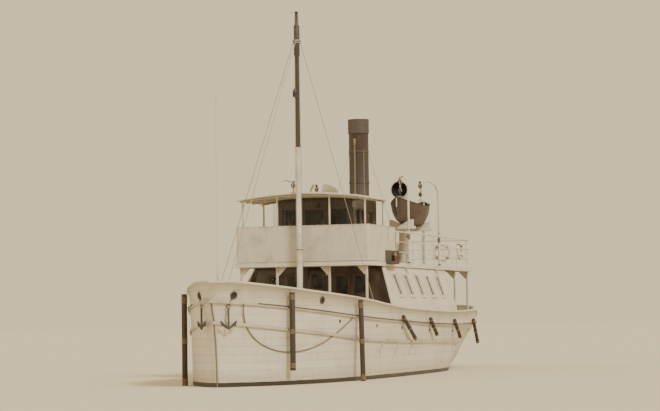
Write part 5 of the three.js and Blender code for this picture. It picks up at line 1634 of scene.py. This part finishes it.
@dataclass
class UpperDeck:
    """Beams, edge mouldings, pillars' knees, stair fittings and benches of the upper deck."""

    under: float = 3.74
    half: float = 2.21

    def beams(self) -> None:
        """Beams under the planking, clear of the casing and the stair."""
        whole = (8.3, 8.75, 9.2, 10.0, 10.6, 11.2, 11.8, 17.1, 17.45, 19.7, 20.3, 20.9)
        split = (12.6, 13.3, 14.0, 14.7, 15.4, 16.1)
        spans = [(aft, -self.half, self.half) for aft in whole]
        spans += [(aft, *sorted((side * 0.91, side * self.half))) for aft in split
                  for side in (1, -1)]
        beams = [Bench.block(at(aft + 0.03, near, self.under - 0.075),
                             at(aft - 0.03, far, self.under - 0.001)) for aft, near, far in spans]
        fit(beams, "upper_deck_beams", WHITE_PAINT)

    def mouldings(self) -> None:
        """White fascia round the deck's edge with a half-round at its foot."""
        x_fore, x_aft, edge = STEM - 7.85, STEM - 21.4, 2.3
        corners = [(x_fore, -edge), (x_fore, edge), (x_aft, edge), (x_aft, -edge), (x_fore, -edge)]
        pieces = [Bench.pipe([(x, y, up) for x, y in corners], 0.016, 10) for up in (3.672, 3.785)]
        grow = 0.006
        strips = [Bench.block((x_aft - grow, side * edge - grow, 3.675),
                              (x_fore + grow, side * edge + grow, 3.782), 0.003)
                  for side in (1, -1)]
        strips += [Bench.block((x - grow, -edge, 3.675), (x + grow, edge, 3.782), 0.003)
                   for x in (x_fore, x_aft)]
        fit([*pieces, *strips], "upper_deck_fascia", WHITE_PAINT)

    def knees(self) -> None:
        """Brackets between the pillars and the beams, and collars at the pillars' feet."""
        pieces = []
        outline = [(0.0, 0.0), (0.30, 0.0), (0.27, -0.035), (0.06, -0.26), (0.0, -0.30)]
        collar = ((0.075, 0), (0.072, 0.03), (0.052, 0.06), (0.046, 0.065))
        for aft, outs in ((8.01, (-2.16, -0.9, 0.9, 2.16)), (19.35, (-2.16, 2.16)),
                          (21.25, (-2.16, -0.9, 0.9, 2.16))):
            for out in outs:
                inward = -math.copysign(1.0, out)
                knee = Bench.plate([outline], 0.03, 0.004)
                turn = Matrix(((0, 0, inward), (inward, 0, 0), (0, 1, 0))).to_4x4()
                place = Matrix.Translation(at(aft, out + inward * 0.035, 3.66))
                pieces.append(Bench.placed(knee, place @ turn))
                pieces.append(Bench.turned(collar, at(aft, out, Probe.deck(aft, out)), 16))
        fit(pieces, "pillar_knees", WHITE_PAINT)

    def sockets(self) -> None:
        """Casings of the davits' sockets and collars round the cowls' feet."""
        bore = [(spot.x, spot.y) for spot in around(16, 0.044)]
        collar = ((0.212, -0.005), (0.212, 0.050), (0.176, 0.066), (0.176, 0.186), (0.155, 0.193))
        pieces = []
        for side in (1, -1):
            pieces.append(Bench.turned(collar, (COWL_X, side * COWL_OUT, UPPER_DECK), 28))
            spin = Matrix.Rotation(0.0 if side > 0 else math.pi, 4, "Z")
            for aft in (12.15, 16.15):
                cover = Bench.plate([rect(-0.090, -0.125, 0.090, 0.090), bore], 0.158, 0.008)
                place = Matrix.Translation(at(aft, side * DAVIT_OUT, 3.711))
                pieces.append(Bench.placed(cover, place @ spin))
        fit(pieces, "sockets_and_collars", WHITE_PAINT)

    def stair(self) -> None:
        """Handrails and brass nosings of the stair."""
        low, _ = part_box("upper_deck_stair")
        foot, head = low.z + 0.03, 3.78
        rails = []
        for out in (-1.89, -1.11):
            course = [at(19.0, out, foot), at(19.0, out, foot + 0.88), at(17.82, out, head + 0.86),
                      at(17.62, out, head + 0.92)]
            rails.append(Bench.pipe(course, 0.020, 10))
            rails.append(Bench.pipe([at(18.40, out, foot + 1.03), at(18.40, out, foot + 1.85)],
                                    0.014, 8))
        fit(rails, "stair_handrails", WHITE_PAINT)
        nosings = []
        for number in range(8):
            share = (number + 0.7) / 8.4
            aft, up = 18.91 - 1.18 * share, foot + (head - foot) * share
            nosings.append(Bench.pipe([at(aft + 0.09, out, up) for out in (-1.87, -1.13)], 0.009,
                                      8))
        fit(nosings, "stair_nosings", BRASS)

    def bench(self) -> None:
        """Slatted double bench on cast ends, in place of the plain one."""
        x_fore, x_aft, deck = STEM - 17.0, STEM - 19.6, 3.801
        slats = []
        for side in (1, -1):
            for number in range(4):
                out = side * (0.085 + 0.070 * number)
                low, high = sorted((out - 0.028, out + 0.028))
                slats.append(Bench.block((x_aft, low, deck + 0.415), (x_fore, high, deck + 0.440),
                                         0.006))
            for number in range(5):
                up, lean = deck + 0.50 + 0.085 * number, side * (0.058 - 0.008 * number)
                low, high = sorted((lean - 0.011, lean + 0.011))
                slats.append(Bench.block((x_aft, low, up), (x_fore, high, up + 0.060), 0.006))
        slats.append(Bench.block((x_aft, -0.034, deck + 0.862), (x_fore, 0.034, deck + 0.885),
                                 0.009))
        fit(slats, "bench_slats", ASH, stands_for=("upper_deck_bench",))
        ends = []
        outline = [(-0.33, 0.41), (-0.30, 0.36), (-0.24, 0.20), (-0.29, 0.03), (-0.29, 0.0),
                   (-0.20, 0.0), (-0.16, 0.20), (0.0, 0.30), (0.16, 0.20), (0.20, 0.0), (0.29, 0.0),
                   (0.29, 0.03), (0.24, 0.20), (0.30, 0.36), (0.33, 0.41), (0.075, 0.41),
                   (0.022, 0.86), (-0.022, 0.86), (-0.075, 0.41)]
        turn = Matrix(((0, 0, 1), (1, 0, 0), (0, 1, 0))).to_4x4()
        for x in (x_fore - 0.1, (x_fore + x_aft) / 2, x_aft + 0.1):
            ends.append(Bench.placed(Bench.plate([outline], 0.03, 0.005),
                                     Matrix.Translation((x, 0, deck)) @ turn))
        fit(ends, "bench_ends", IRON)

    def build(self) -> None:
        """Builds the upper deck's fine pieces."""
        self.beams()
        self.mouldings()
        self.knees()
        self.sockets()
        self.stair()
        self.bench()


@dataclass
class EngineTop:
    """Casing ports and mouldings, funnel bands, skylight glass and cowl throats."""

    funnel: Flat = (-2.9, 0.0)
    radius: float = 0.35

    def casing(self) -> None:
        """Half-round under the casing's top edge, ports in its sides and a grab rail."""
        x_fore, x_aft, half = STEM - 12.2, STEM - 16.6, CASING_HALF
        corners = [(x_fore, -half), (x_fore, half), (x_aft, half), (x_aft, -half), (x_fore, -half)]
        pieces = [Bench.pipe([(x, y, up) for x, y in corners], 0.022, 12) for up in (4.53, 3.83)]
        for side in (1, -1):
            pieces.append(Bench.pipe([(x_fore - 0.1, side * 0.955, 4.42),
                                      (x_aft + 0.1, side * 0.955, 4.42)], 0.013, 10))
            pieces += [Bench.turned(((0.016, 0.0), (0.012, 0.012), (0.011, 0.058)),
                                    (x, side * 0.898, 4.42), 8, (0, side, 0))
                       for x in (-0.9, -1.9, -2.9, -3.9, -4.9)]
        fit(pieces, "casing_mouldings", WHITE_PAINT)
        places = [(Vector((x, side * half, 4.16)), Vector((0, side, 0))) for side in (1, -1)
                  for x in (-1.35, -2.35, -3.4, -4.4)]
        Porthole(0.115).fit("casing_portholes", places)

    def funnel_bands(self) -> None:
        """Bands, rivets, a ladder and stays of the funnel."""
        x, y = self.funnel
        band = ((0.0, -0.035), (0.012, -0.030), (0.012, 0.030), (0.0, 0.035))
        bands, rivets = [], []
        for up in (5.65, 6.75, 7.85):
            rows = [(self.radius + 0.001 + grow, rise) for grow, rise in band]
            bands.append(Bench.turned(rows, (x, y, up), 48))
            rivets += [(Vector((x, y, up)) + outward * (self.radius + 0.012), outward)
                       for outward in around(20, 1.0)]
        bands += [Bench.ring((x, y, up), radius, thick, UP, 48)
                  for up, radius, thick in ((8.99, 0.368, 0.014), (8.51, 0.362, 0.016))]
        ladder, half = x - 0.40, 0.13
        bands += [Bench.pipe([(ladder, out, 4.62), (ladder, out, 8.45), (x - 0.34, out, 8.49)],
                             0.010, 8) for out in (-half, half)]
        rungs = [4.85 + 0.3 * step for step in range(12)]
        bands += [Bench.pipe([(ladder, -half, up), (ladder, half, up)], 0.008, 8) for up in rungs]
        fit([*bands, Bench.knobs(0.010, rivets)], "funnel_bands_and_ladder", FUNNEL_PAINT,
            degrees=40)
        stays, eyes = [], []
        for fore in (1, -1):
            for side in (1, -1):
                top = Vector((x + fore * 0.26, side * 0.26, 7.85))
                foot = Vector((x + (1.95 if fore > 0 else -2.05), side * 0.80, 4.57))
                stays.append(Bench.pipe([top, foot], 0.006, 6))
                eyes.append(Bench.ring(foot, 0.030, 0.009, (0, 1, 0), 14))
        fit([*stays, *eyes], "funnel_stays", WIRE)

    def skylight(self) -> None:
        """Panes and guard bars on the skylight's lids; they ride the lids."""
        for name, side in SIDES.items():
            body = f"skylight_lid_{name}"
            slope = math.atan2(0.198, 0.434)
            outward = Vector((0, side * math.sin(slope), math.cos(slope)))
            panes, bars = [], []
            for number in range(4):
                centre = Vector((-4.845 + 0.247 * number, side * 0.263, 4.887)) + outward * 0.004
                wall = facing(centre, outward)
                frame_plate = Bench.plate([rect(-0.105, -0.165, 0.105, 0.165),
                                           rect(-0.085, -0.145, 0.085, 0.145)], 0.016)
                bars.append(Bench.placed(frame_plate, wall))
                panes.append(Bench.placed(Bench.plate([rect(-0.087, -0.147, 0.087, 0.147)], 0.006,
                                                      0.0015), wall))
                bars += [Bench.placed(Bench.pipe([(across, -0.155, 0.022), (across, 0.155, 0.022)],
                                                 0.005, 6), wall) for across in (-0.05, 0.0, 0.05)]
            fit(bars, f"{body}_guards", BRASS, body)
            fit(panes, f"{body}_panes", PANE, body)

    def cowls(self) -> None:
        """Rolled lips and dark throats of the cowls, and the handles that they are turned by."""
        throat = ((0.18, 0.0), (0.245, 0.015), (0.278, 0.08), (0.291, 0.190), (0.285, 0.190),
                  (0.268, 0.08), (0.236, 0.024), (0.17, 0.010))
        for name, side, angle in (("cowl_port", 1, 0.0), ("cowl_starboard", -1, -100.0)):
            place = (Matrix.Translation((COWL_X, side * COWL_OUT, 0))
                     @ Matrix.Rotation(math.radians(angle), 4, "Z"))
            # The near-black lining is painted shade deep in the mouth, over the cowl's dark inner
            # paint.
            lining = Bench.placed(Bench.turned(throat, (0.236, 0, COWL_UP), 32, (1, 0, 0)), place)
            fit(lining, f"{name}_throat", HOLLOW_SHADE, name, degrees=50)
            pieces = [Bench.ring((0.425, 0, COWL_UP), 0.311, 0.013, (1, 0, 0), 40),
                      Bench.ring((0, 0, 4.35), 0.158, 0.012, UP, 32),
                      Bench.ring((0, 0, 5.4), 0.154, 0.010, UP, 32)]
            handle = ((0.15, 5.05), (0.215, 5.06), (0.215, 5.22), (0.15, 5.23))
            pieces += [Bench.pipe([(0.0, out * reach, up) for reach, up in handle], 0.010, 8)
                       for out in (-1, 1)]
            fit(Bench.placed(Bench.joined(pieces), place), f"{name}_lip", WHITE_PAINT, name,
                degrees=50)

    def build(self) -> None:
        """Builds the fine pieces on and round the casing."""
        self.casing()
        self.funnel_bands()
        self.skylight()
        self.cowls()


@dataclass
class Lifeboats:
    """Clinker boats with their ribs, thwarts and oars, in place of the plain shells."""

    fore: float = 12.35
    long: float = 3.60
    out: float = BOAT_OUT
    half: float = 0.56
    keel: float = 5.19
    gunwale: float = 5.83
    end_rise: float = 0.25
    strakes: int = 8
    lap: float = 0.011
    wall: float = 0.016

    def section(self, share: float, turn: float, inset: float = 0.0) -> Vector:
        """Place on the boat's side.

        Args:
            share: from 0 at the fore end to 1 at the aft end.
            turn: from 0 at the keel to 1 at the gunwale, negative to starboard.
            inset: distance inside the shell.

        Returns:
            The place, for a boat on the centreline.
        """
        along = 2 * share - 1
        width = max(self.half * (1 - abs(along) ** 2.4), 0.026)
        rise = self.gunwale + self.end_rise * along ** 2
        floor = self.keel + 0.15 * abs(along) ** 4
        angle = math.pi / 2 * abs(turn)
        side = math.copysign(1.0, turn)
        reach = max(width * math.sin(angle) ** 0.9 - inset * math.sin(angle), 0.0)
        up = rise + (floor - rise) * math.cos(angle) ** 1.2 + inset * math.cos(angle)
        return at(self.fore + self.long * share, side * reach, up)

    def shell(self) -> Piece:
        """Planking whose strakes overlap."""
        rows = self.strakes * 4 - 1

        def place(share: float, turn: float) -> Point:
            row = round(turn * rows)
            step = row - self.strakes * 2 if row >= self.strakes * 2 else self.strakes * 2 - 1 - row
            side = 1 if row >= self.strakes * 2 else -1
            strake, upper = divmod(step, 2)
            height = side * max((strake + upper) / self.strakes, 0.0001)
            return self.section(share, height, -self.lap * (1 - upper) + 0.006)

        piece = Bench.grid(48, rows, place)
        Bench.edit(piece, lambda: bpy.ops.mesh.normals_make_consistent(inside=False))
        return Bench.modify(piece, "SOLIDIFY", thickness=self.wall, offset=-1.0)

    def inside(self) -> Piece:
        """Ribs, thwarts, gunwales, keel, stems and rowlocks."""
        pieces = []
        for number in range(13):
            share = 0.10 + 0.80 * number / 12
            line = [self.section(share, turn / 8 - 1, 0.022) for turn in range(17)]
            pieces.append(Bench.pipe(line, 0.011, 8))
        for side in (1, -1):
            line = [self.section(step / 32, side * 1.0, 0.0) + lift(0.004) for step in range(33)]
            pieces.append(Bench.pipe(line, 0.020, 10))
            risers = [self.section(0.08 + 0.84 * step / 20, side * 0.76, 0.03)
                      for step in range(21)]
            pieces.append(Bench.pipe(risers, 0.013, 8))
            for share in (0.36, 0.62):
                lock = self.section(share, side * 1.0) + lift(0.065)
                pieces.append(Bench.ring(lock, 0.034, 0.009, (1, 0, 0), 14))
        pieces.append(Bench.pipe([self.section(step / 32, 0.0001, -0.022) for step in range(33)],
                                 0.024, 8))
        mid = self.fore + self.long / 2
        for step in (-0.95, 0.0, 0.95):
            reach = self.section(0.5 + step / self.long, 0.72, 0.03).y
            pieces.append(Bench.block(at(mid + step + 0.11, -reach, 5.60),
                                      at(mid + step - 0.11, reach, 5.63), 0.008))
        pieces.append(Bench.block(at(mid + 0.55, -0.13, 5.235), at(mid - 0.95, 0.13, 5.25), 0.004))
        return Bench.joined(pieces)

    def oars(self) -> Piece:
        """Two pairs of oars laid on the thwarts."""
        pieces = []
        shaft = ((0.016, 0.0), (0.017, 0.12), (0.022, 0.20), (0.022, 1.35), (0.016, 1.80))
        feather = Matrix.Rotation(math.pi, 4, "Z") @ Matrix.Rotation(math.pi / 2 * 0.8, 4, "X")
        for out in (-0.19, -0.05, 0.05, 0.19):
            foot = at(self.fore + 0.60, out, 5.660)
            pieces.append(Bench.turned(shaft, foot, 10, (-1, 0, 0)))
            outline = [(0, -0.02), (0.10, -0.055), (0.42, -0.06), (0.42, 0.06), (0.10, 0.055),
                       (0, 0.02)]
            blade = Bench.plate([outline], 0.014, 0.004)
            pieces.append(Bench.placed(blade, Matrix.Translation(foot + Vector((-1.76, 0, 0)))
                                       @ feather))
        return Bench.joined(pieces)

    def build(self) -> None:
        """Builds both boats."""
        shell, inside, oars = self.shell(), self.inside(), self.oars()
        for name, side in SIDES.items():
            place = Matrix.Translation((0, side * self.out, 0))
            fit(Bench.copy(shell, place), f"lifeboat_{name}_planking", BOAT_WOOD,
                stands_for=(f"lifeboat_{name}",), degrees=20)
            fit(Bench.copy(inside, place), f"lifeboat_{name}_timbers", BOAT_WOOD)
            fit(Bench.copy(oars, place), f"lifeboat_{name}_oars", ASH)
        for piece in (shell, inside, oars):
            bpy.data.objects.remove(piece)


@dataclass
class DavitGear:
    """Collars, cleats, blocks and falls of the davits; they ride their davits."""

    out: float = DAVIT_OUT
    posts: tuple[tuple[str, int, float, float], ...] = (
        ("davit_port_fore", 1, 12.15, 12.83), ("davit_port_aft", 1, 16.15, 15.47),
        ("davit_starboard_fore", -1, 12.15, 12.83), ("davit_starboard_aft", -1, 16.15, 15.47))
    head: float = 6.76
    collars: tuple[float, float] = (3.79, 4.95)
    cleat: float = 4.70
    block_rows: tuple[tuple[float, float, float], ...] = (
        (-0.055, -0.20, 0.070), (-0.37, -0.50, 0.064))

    def build(self) -> None:
        """Builds the gear of each davit."""
        for name, side, post, hook in self.posts:
            foot = at(post, side * self.out, 0)
            head = at(hook, side * BOAT_OUT, self.head)
            iron = [Bench.turned(((0.062, 0.0), (0.062, 0.02), (0.048, 0.035), (0.040, 0.05)),
                                 foot + lift(self.collars[0]), 18),
                    Bench.ring(foot + lift(self.collars[1]), 0.042, 0.010, UP, 18),
                    Bench.turned(((0.036, -0.01), (0.046, 0.015), (0.040, 0.045), (0.018, 0.060)),
                                 head, 14, (head - foot - lift(head.z)).normalized())]
            cleat = foot + Vector((0, -side * 0.045, self.cleat))
            iron.append(Bench.pipe([cleat + Vector((-0.10, 0, 0.02)), cleat,
                                    cleat + Vector((0.10, 0, 0.02))], 0.012, 8))
            iron.append(Bench.ring(head + lift(-0.645), 0.040, 0.010, (1, 0, 0), 16))
            fit(iron, f"{name}_irons", IRON, name)
            cheeks = []
            for top, low, radius in self.block_rows:
                rows = ((radius * 0.8, -0.046), (radius, -0.036), (radius, 0.036),
                        (radius * 0.8, 0.046))
                middle = head + lift((top + low) / 2)
                disc = Bench.turned(rows, (0, 0, 0), 18, (1, 0, 0))
                cheeks.append(Bench.placed(disc, Matrix.Translation(middle)
                                           @ Matrix.Scale(1.3, 4, (0, 0, 1))))
            fit(cheeks, f"{name}_blocks", TEAK_Z, name)
            falls = [Bench.pipe([head + Vector((across, 0.03, -0.13)),
                                 head + Vector((across, 0.03, -0.43))], 0.007, 6)
                     for across in (-0.022, 0.022)]
            falls.append(Bench.coil([foot + lift(4.62), foot + lift(4.80)], 0.050, 0.016, 0.007))
            fit(falls, f"{name}_falls", HEMP, name)


@dataclass
class FenderRopes:
    """Rope bindings round the ends of the hung timber fenders."""

    logs: tuple[tuple[float, float, float, float, float], ...] = (
        (5.30, 5.45, 2.52, -0.04, 0.080), (9.57, 11.05, 1.99, 1.23, 0.062),
        (13.00, 13.85, 1.90, 1.33, 0.062), (16.40, 17.20, 1.83, 1.20, 0.062),
        (19.95, 20.60, 1.84, 0.96, 0.062))
    bow: tuple[float, float, float, float] = (1.80, 2.75, 0.43, -0.06)
    bow_radius: float = 0.085

    def build(self) -> None:
        """Winds the bindings."""
        aft, top, port_foot, starboard_foot = self.bow
        for name, side in SIDES.items():
            foot = port_foot if side > 0 else starboard_foot
            rows = [(aft, aft, top, foot, self.bow_radius), *self.logs]
            ropes = []
            for top_aft, foot_aft, high, low, radius in rows:
                mid_aft, mid = (top_aft + foot_aft) / 2, (high + low) / 2
                out = Probe.hit(f"fenders_{name}", at(mid_aft, side * 6, mid),
                                (0, -side, 0))[0].y - side * radius * 0.97
                axis = [at(top_aft, out, high), at(foot_aft, out, low)]
                for start, end in ((0.03, 0.10), (0.47, 0.53), (0.90, 0.97)):
                    stretch = [axis[0].lerp(axis[1], share) for share in (start, end)]
                    ropes.append(Bench.coil(stretch, radius + 0.006, 0.028, 0.010))
            fit(ropes, f"fender_bindings_{name}", HEMP)


@dataclass
class Spars:
    """Bands, trucks, halyards and lamps of the mast and staffs."""

    mast_aft: float = 7.64
    jack_x: float = STEM - 0.155
    ensign_x: float = STEM - 25.35
    lamp_up: float = 9.16
    bands: tuple[Flat, ...] = ((10.58, 0.096), (11.0, 0.132), (11.49, 0.096), (7.56, 0.094),
                               (4.2, 0.101), (2.9, 0.104))

    def mast(self, ahead: float, out: float, up: float) -> Vector:
        """Place by its distances from the mast's axis, at a height."""
        return at(self.mast_aft - ahead, out, up)

    def lamp(self) -> None:
        """Masthead lamp and its lens."""
        case = ((0.075, 0.0), (0.080, 0.02), (0.080, 0.20), (0.060, 0.23), (0.035, 0.27),
                (0.030, 0.29))
        fit(Bench.turned(case, self.mast(0.23, 0, self.lamp_up), 20), "masthead_lamp", IRON)
        lens = ((0.078, 0.04), (0.084, 0.05), (0.084, 0.16), (0.078, 0.17))
        fit(Bench.turned(lens, self.mast(0.232, 0, self.lamp_up), 20), "masthead_lens", PANE)

    def build(self) -> None:
        """Builds the spars' fittings."""
        irons = [Bench.ring(self.mast(0, 0, up), radius, 0.010) for up, radius in self.bands]
        irons += [Bench.pipe([self.mast(x, y, 3.05), self.mast(x, y, 3.25)], 0.011, 8)
                  for x, y in ((0.0, 0.125), (0.0, -0.125), (-0.125, 0.0))]
        arm = ((0.07, self.lamp_up - 0.04), (0.23, self.lamp_up - 0.04), (0.23, self.lamp_up))
        irons.append(Bench.pipe([self.mast(ahead, 0, up) for ahead, up in arm], 0.012, 8))
        fit(irons, "mast_irons", IRON)
        self.lamp()
        halyards = [Bench.pipe([self.mast(0, side * 0.128, 3.2), self.mast(0, side * 0.070, 11.9)],
                               0.005, 6) for side in (1, -1)]
        halyards += [Bench.pipe(ends, 0.004, 6) for ends in (
            [(self.jack_x - 0.05, 0, 3.2), (self.jack_x - 0.03, 0, 8.42)],
            [(self.ensign_x, 0.03, 2.8), (self.ensign_x - 0.46, 0.03, 4.62)])]
        fit(halyards, "halyards", HEMP)
        truck = ((0.030, -0.045), (0.045, -0.03), (0.048, -0.015), (0.030, 0.0), (0.012, 0.006))
        heads = ((self.jack_x, 0, 8.50), (self.ensign_x - 0.50, 0, 4.70))
        fit([Bench.turned(truck, head, 16) for head in heads], "staff_trucks", WHITE_PAINT)


@dataclass
class Sidelights:
    """Coloured lenses and brass tops of the sidelights."""

    aft: float = 10.48
    out: float = 2.4103
    foot: float = 3.82

    def build(self) -> None:
        """Builds both lamps' fittings."""
        lens = ((0.076, 0.05), (0.083, 0.06), (0.083, 0.16), (0.076, 0.17))
        cap = ((0.080, 0.195), (0.082, 0.21), (0.050, 0.245), (0.034, 0.275), (0.040, 0.285),
               (0.036, 0.30), (0.02, 0.305))
        for (name, side), finish in zip(SIDES.items(), (RED_LENS, GREEN_LENS)):
            foot = at(self.aft, side * self.out, self.foot)
            fit(Bench.turned(lens, foot, 20), f"sidelight_{name}_lens", finish)
            rings = [Bench.ring(foot + lift(up), radius, thick, UP, 20)
                     for up, radius, thick in ((0.045, 0.080, 0.006), (0.11, 0.086, 0.004))]
            fit([Bench.turned(cap, foot, 20), *rings], f"sidelight_{name}_brasses", BRASS)


@dataclass
class SternGear:
    """Bolt heads on the rudder and the propeller's nut; they ride their bodies."""

    def build(self) -> None:
        """Builds the underwater fittings."""
        bolts = [(Vector((x, side * 0.049, up)), Vector((0, side, 0))) for side in (1, -1)
                 for up in (-1.55, -0.80) for x in (-10.62, -10.80, -10.98, -11.14)]
        fit(Bench.knobs(0.016, bolts), "rudder_bolts", IRON, "rudder")
        nut = ((0.050, 0.0), (0.048, 0.03), (0.030, 0.055), (0.012, 0.065))
        fit(Bench.turned(nut, (-9.86, 0, -1.15), 18, (-1, 0, 0)), "propeller_nut", BRONZE,
            "propeller")


@dataclass
class Studio:
    """Floor at the waterline, soft light and the camera at the photograph's viewing angle."""

    eye: Point = (70.39, 22.39, 2.0)
    bearing: float = 20.0
    aim_right: float = 28.0 / 720.0
    aim_up: float = 37.2 / 720.0
    roll: float = 0.014
    lens: float = 117.8
    ground: Colour = (0.66, 0.58, 0.42)
    ground_radius: float = 420.0
    sky: Colour = (1.12, 0.94, 0.59)
    sky_strength: float = 0.85
    suns: tuple[tuple[str, float, float, Point], ...] = (
        ("key", 2.7, 12.0, (30, 40, 45)), ("fill", 0.4, 40.0, (40, -50, 30)))

    def camera(self) -> None:
        """Places the camera at the photograph's viewpoint, with three times its lens."""
        angle = math.radians(self.bearing)
        ahead = Vector((-math.cos(angle), -math.sin(angle), 0))
        right = Vector((-math.sin(angle), math.cos(angle), 0))
        aim = (ahead + right * self.aim_right + lift(self.aim_up)).normalized()
        level = aim.cross(Vector(UP)).normalized()
        upright = level.cross(aim)
        camera_up = upright * math.cos(self.roll) + level * math.sin(self.roll)
        camera_right = aim.cross(camera_up)
        turn = Matrix((camera_right, camera_up, -aim)).transposed().to_4x4()
        data = bpy.data.cameras.new("view")
        data.lens = self.lens
        data.sensor_width = 36.0
        data.clip_end = 1000.0
        camera = bpy.data.objects.new("view", data)
        camera.matrix_world = Matrix.Translation(Vector(self.eye)) @ turn
        bpy.context.collection.objects.link(camera)
        bpy.context.scene.camera = camera

    def floor(self) -> None:
        """Plain pale floor at the waterline."""
        bpy.ops.mesh.primitive_circle_add(vertices=96, radius=self.ground_radius, fill_type="NGON")
        disc = bpy.context.object
        disc.name = "studio_floor"
        shader = Shader("studio_floor")
        shader.finish(self.ground, 0.85)
        disc.data.materials.append(shader.material)

    def lights(self) -> None:
        """Soft sky and one broad high light from the port bow."""
        world = bpy.data.worlds.new("studio")
        world.use_nodes = True
        background = world.node_tree.nodes["Background"]
        background.inputs["Color"].default_value = (*self.sky, 1.0)
        background.inputs["Strength"].default_value = self.sky_strength
        bpy.context.scene.world = world
        for name, strength, size, where in self.suns:
            data = bpy.data.lights.new(name, "SUN")
            data.energy = strength
            data.angle = math.radians(size)
            lamp = bpy.data.objects.new(name, data)
            lamp.rotation_euler = Vector(where).to_track_quat("Z", "Y").to_euler()
            bpy.context.collection.objects.link(lamp)

    def build(self) -> None:
        """Sets the studio up."""
        self.camera()
        self.floor()
        self.lights()


def main() -> None:
    """Builds the pieces in order, then the studio."""
    logging.basicConfig(level=logging.INFO, format="%(message)s")
    fore_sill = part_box("saloon_door_fore")[0].z + 0.892
    aft_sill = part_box("saloon_door_aft")[0].z + 0.892
    assemblies = [
        *CARRIED,
        HullFittings(),
        BowLine(),
        ForeDeck(),
        Saloon(),
        DoorSet("saloon_door_fore", (1, 0, 0), 0.40, fore_sill, fore_sill + 0.53, True),
        DoorSet("saloon_door_aft", (-1, 0, 0), 0.40, aft_sill, aft_sill + 0.53, False),
        DoorSet("wheelhouse_door_port", (0, 1, 0), 0.38, 4.96, 5.56, False),
        DoorSet("wheelhouse_door_starboard", (0, -1, 0), 0.38, 4.96, 5.56, True),
        Railings(),
        Dodger(),
        Bridge(),
        UpperDeck(),
        EngineTop(),
        Lifeboats(),
        DavitGear(),
        FenderRopes(),
        Spars(),
        Sidelights(),
        SternGear(),
        Studio(),
    ]
    for assembly in assemblies:
        assembly.build()


if __name__ == "__main__":
    main()
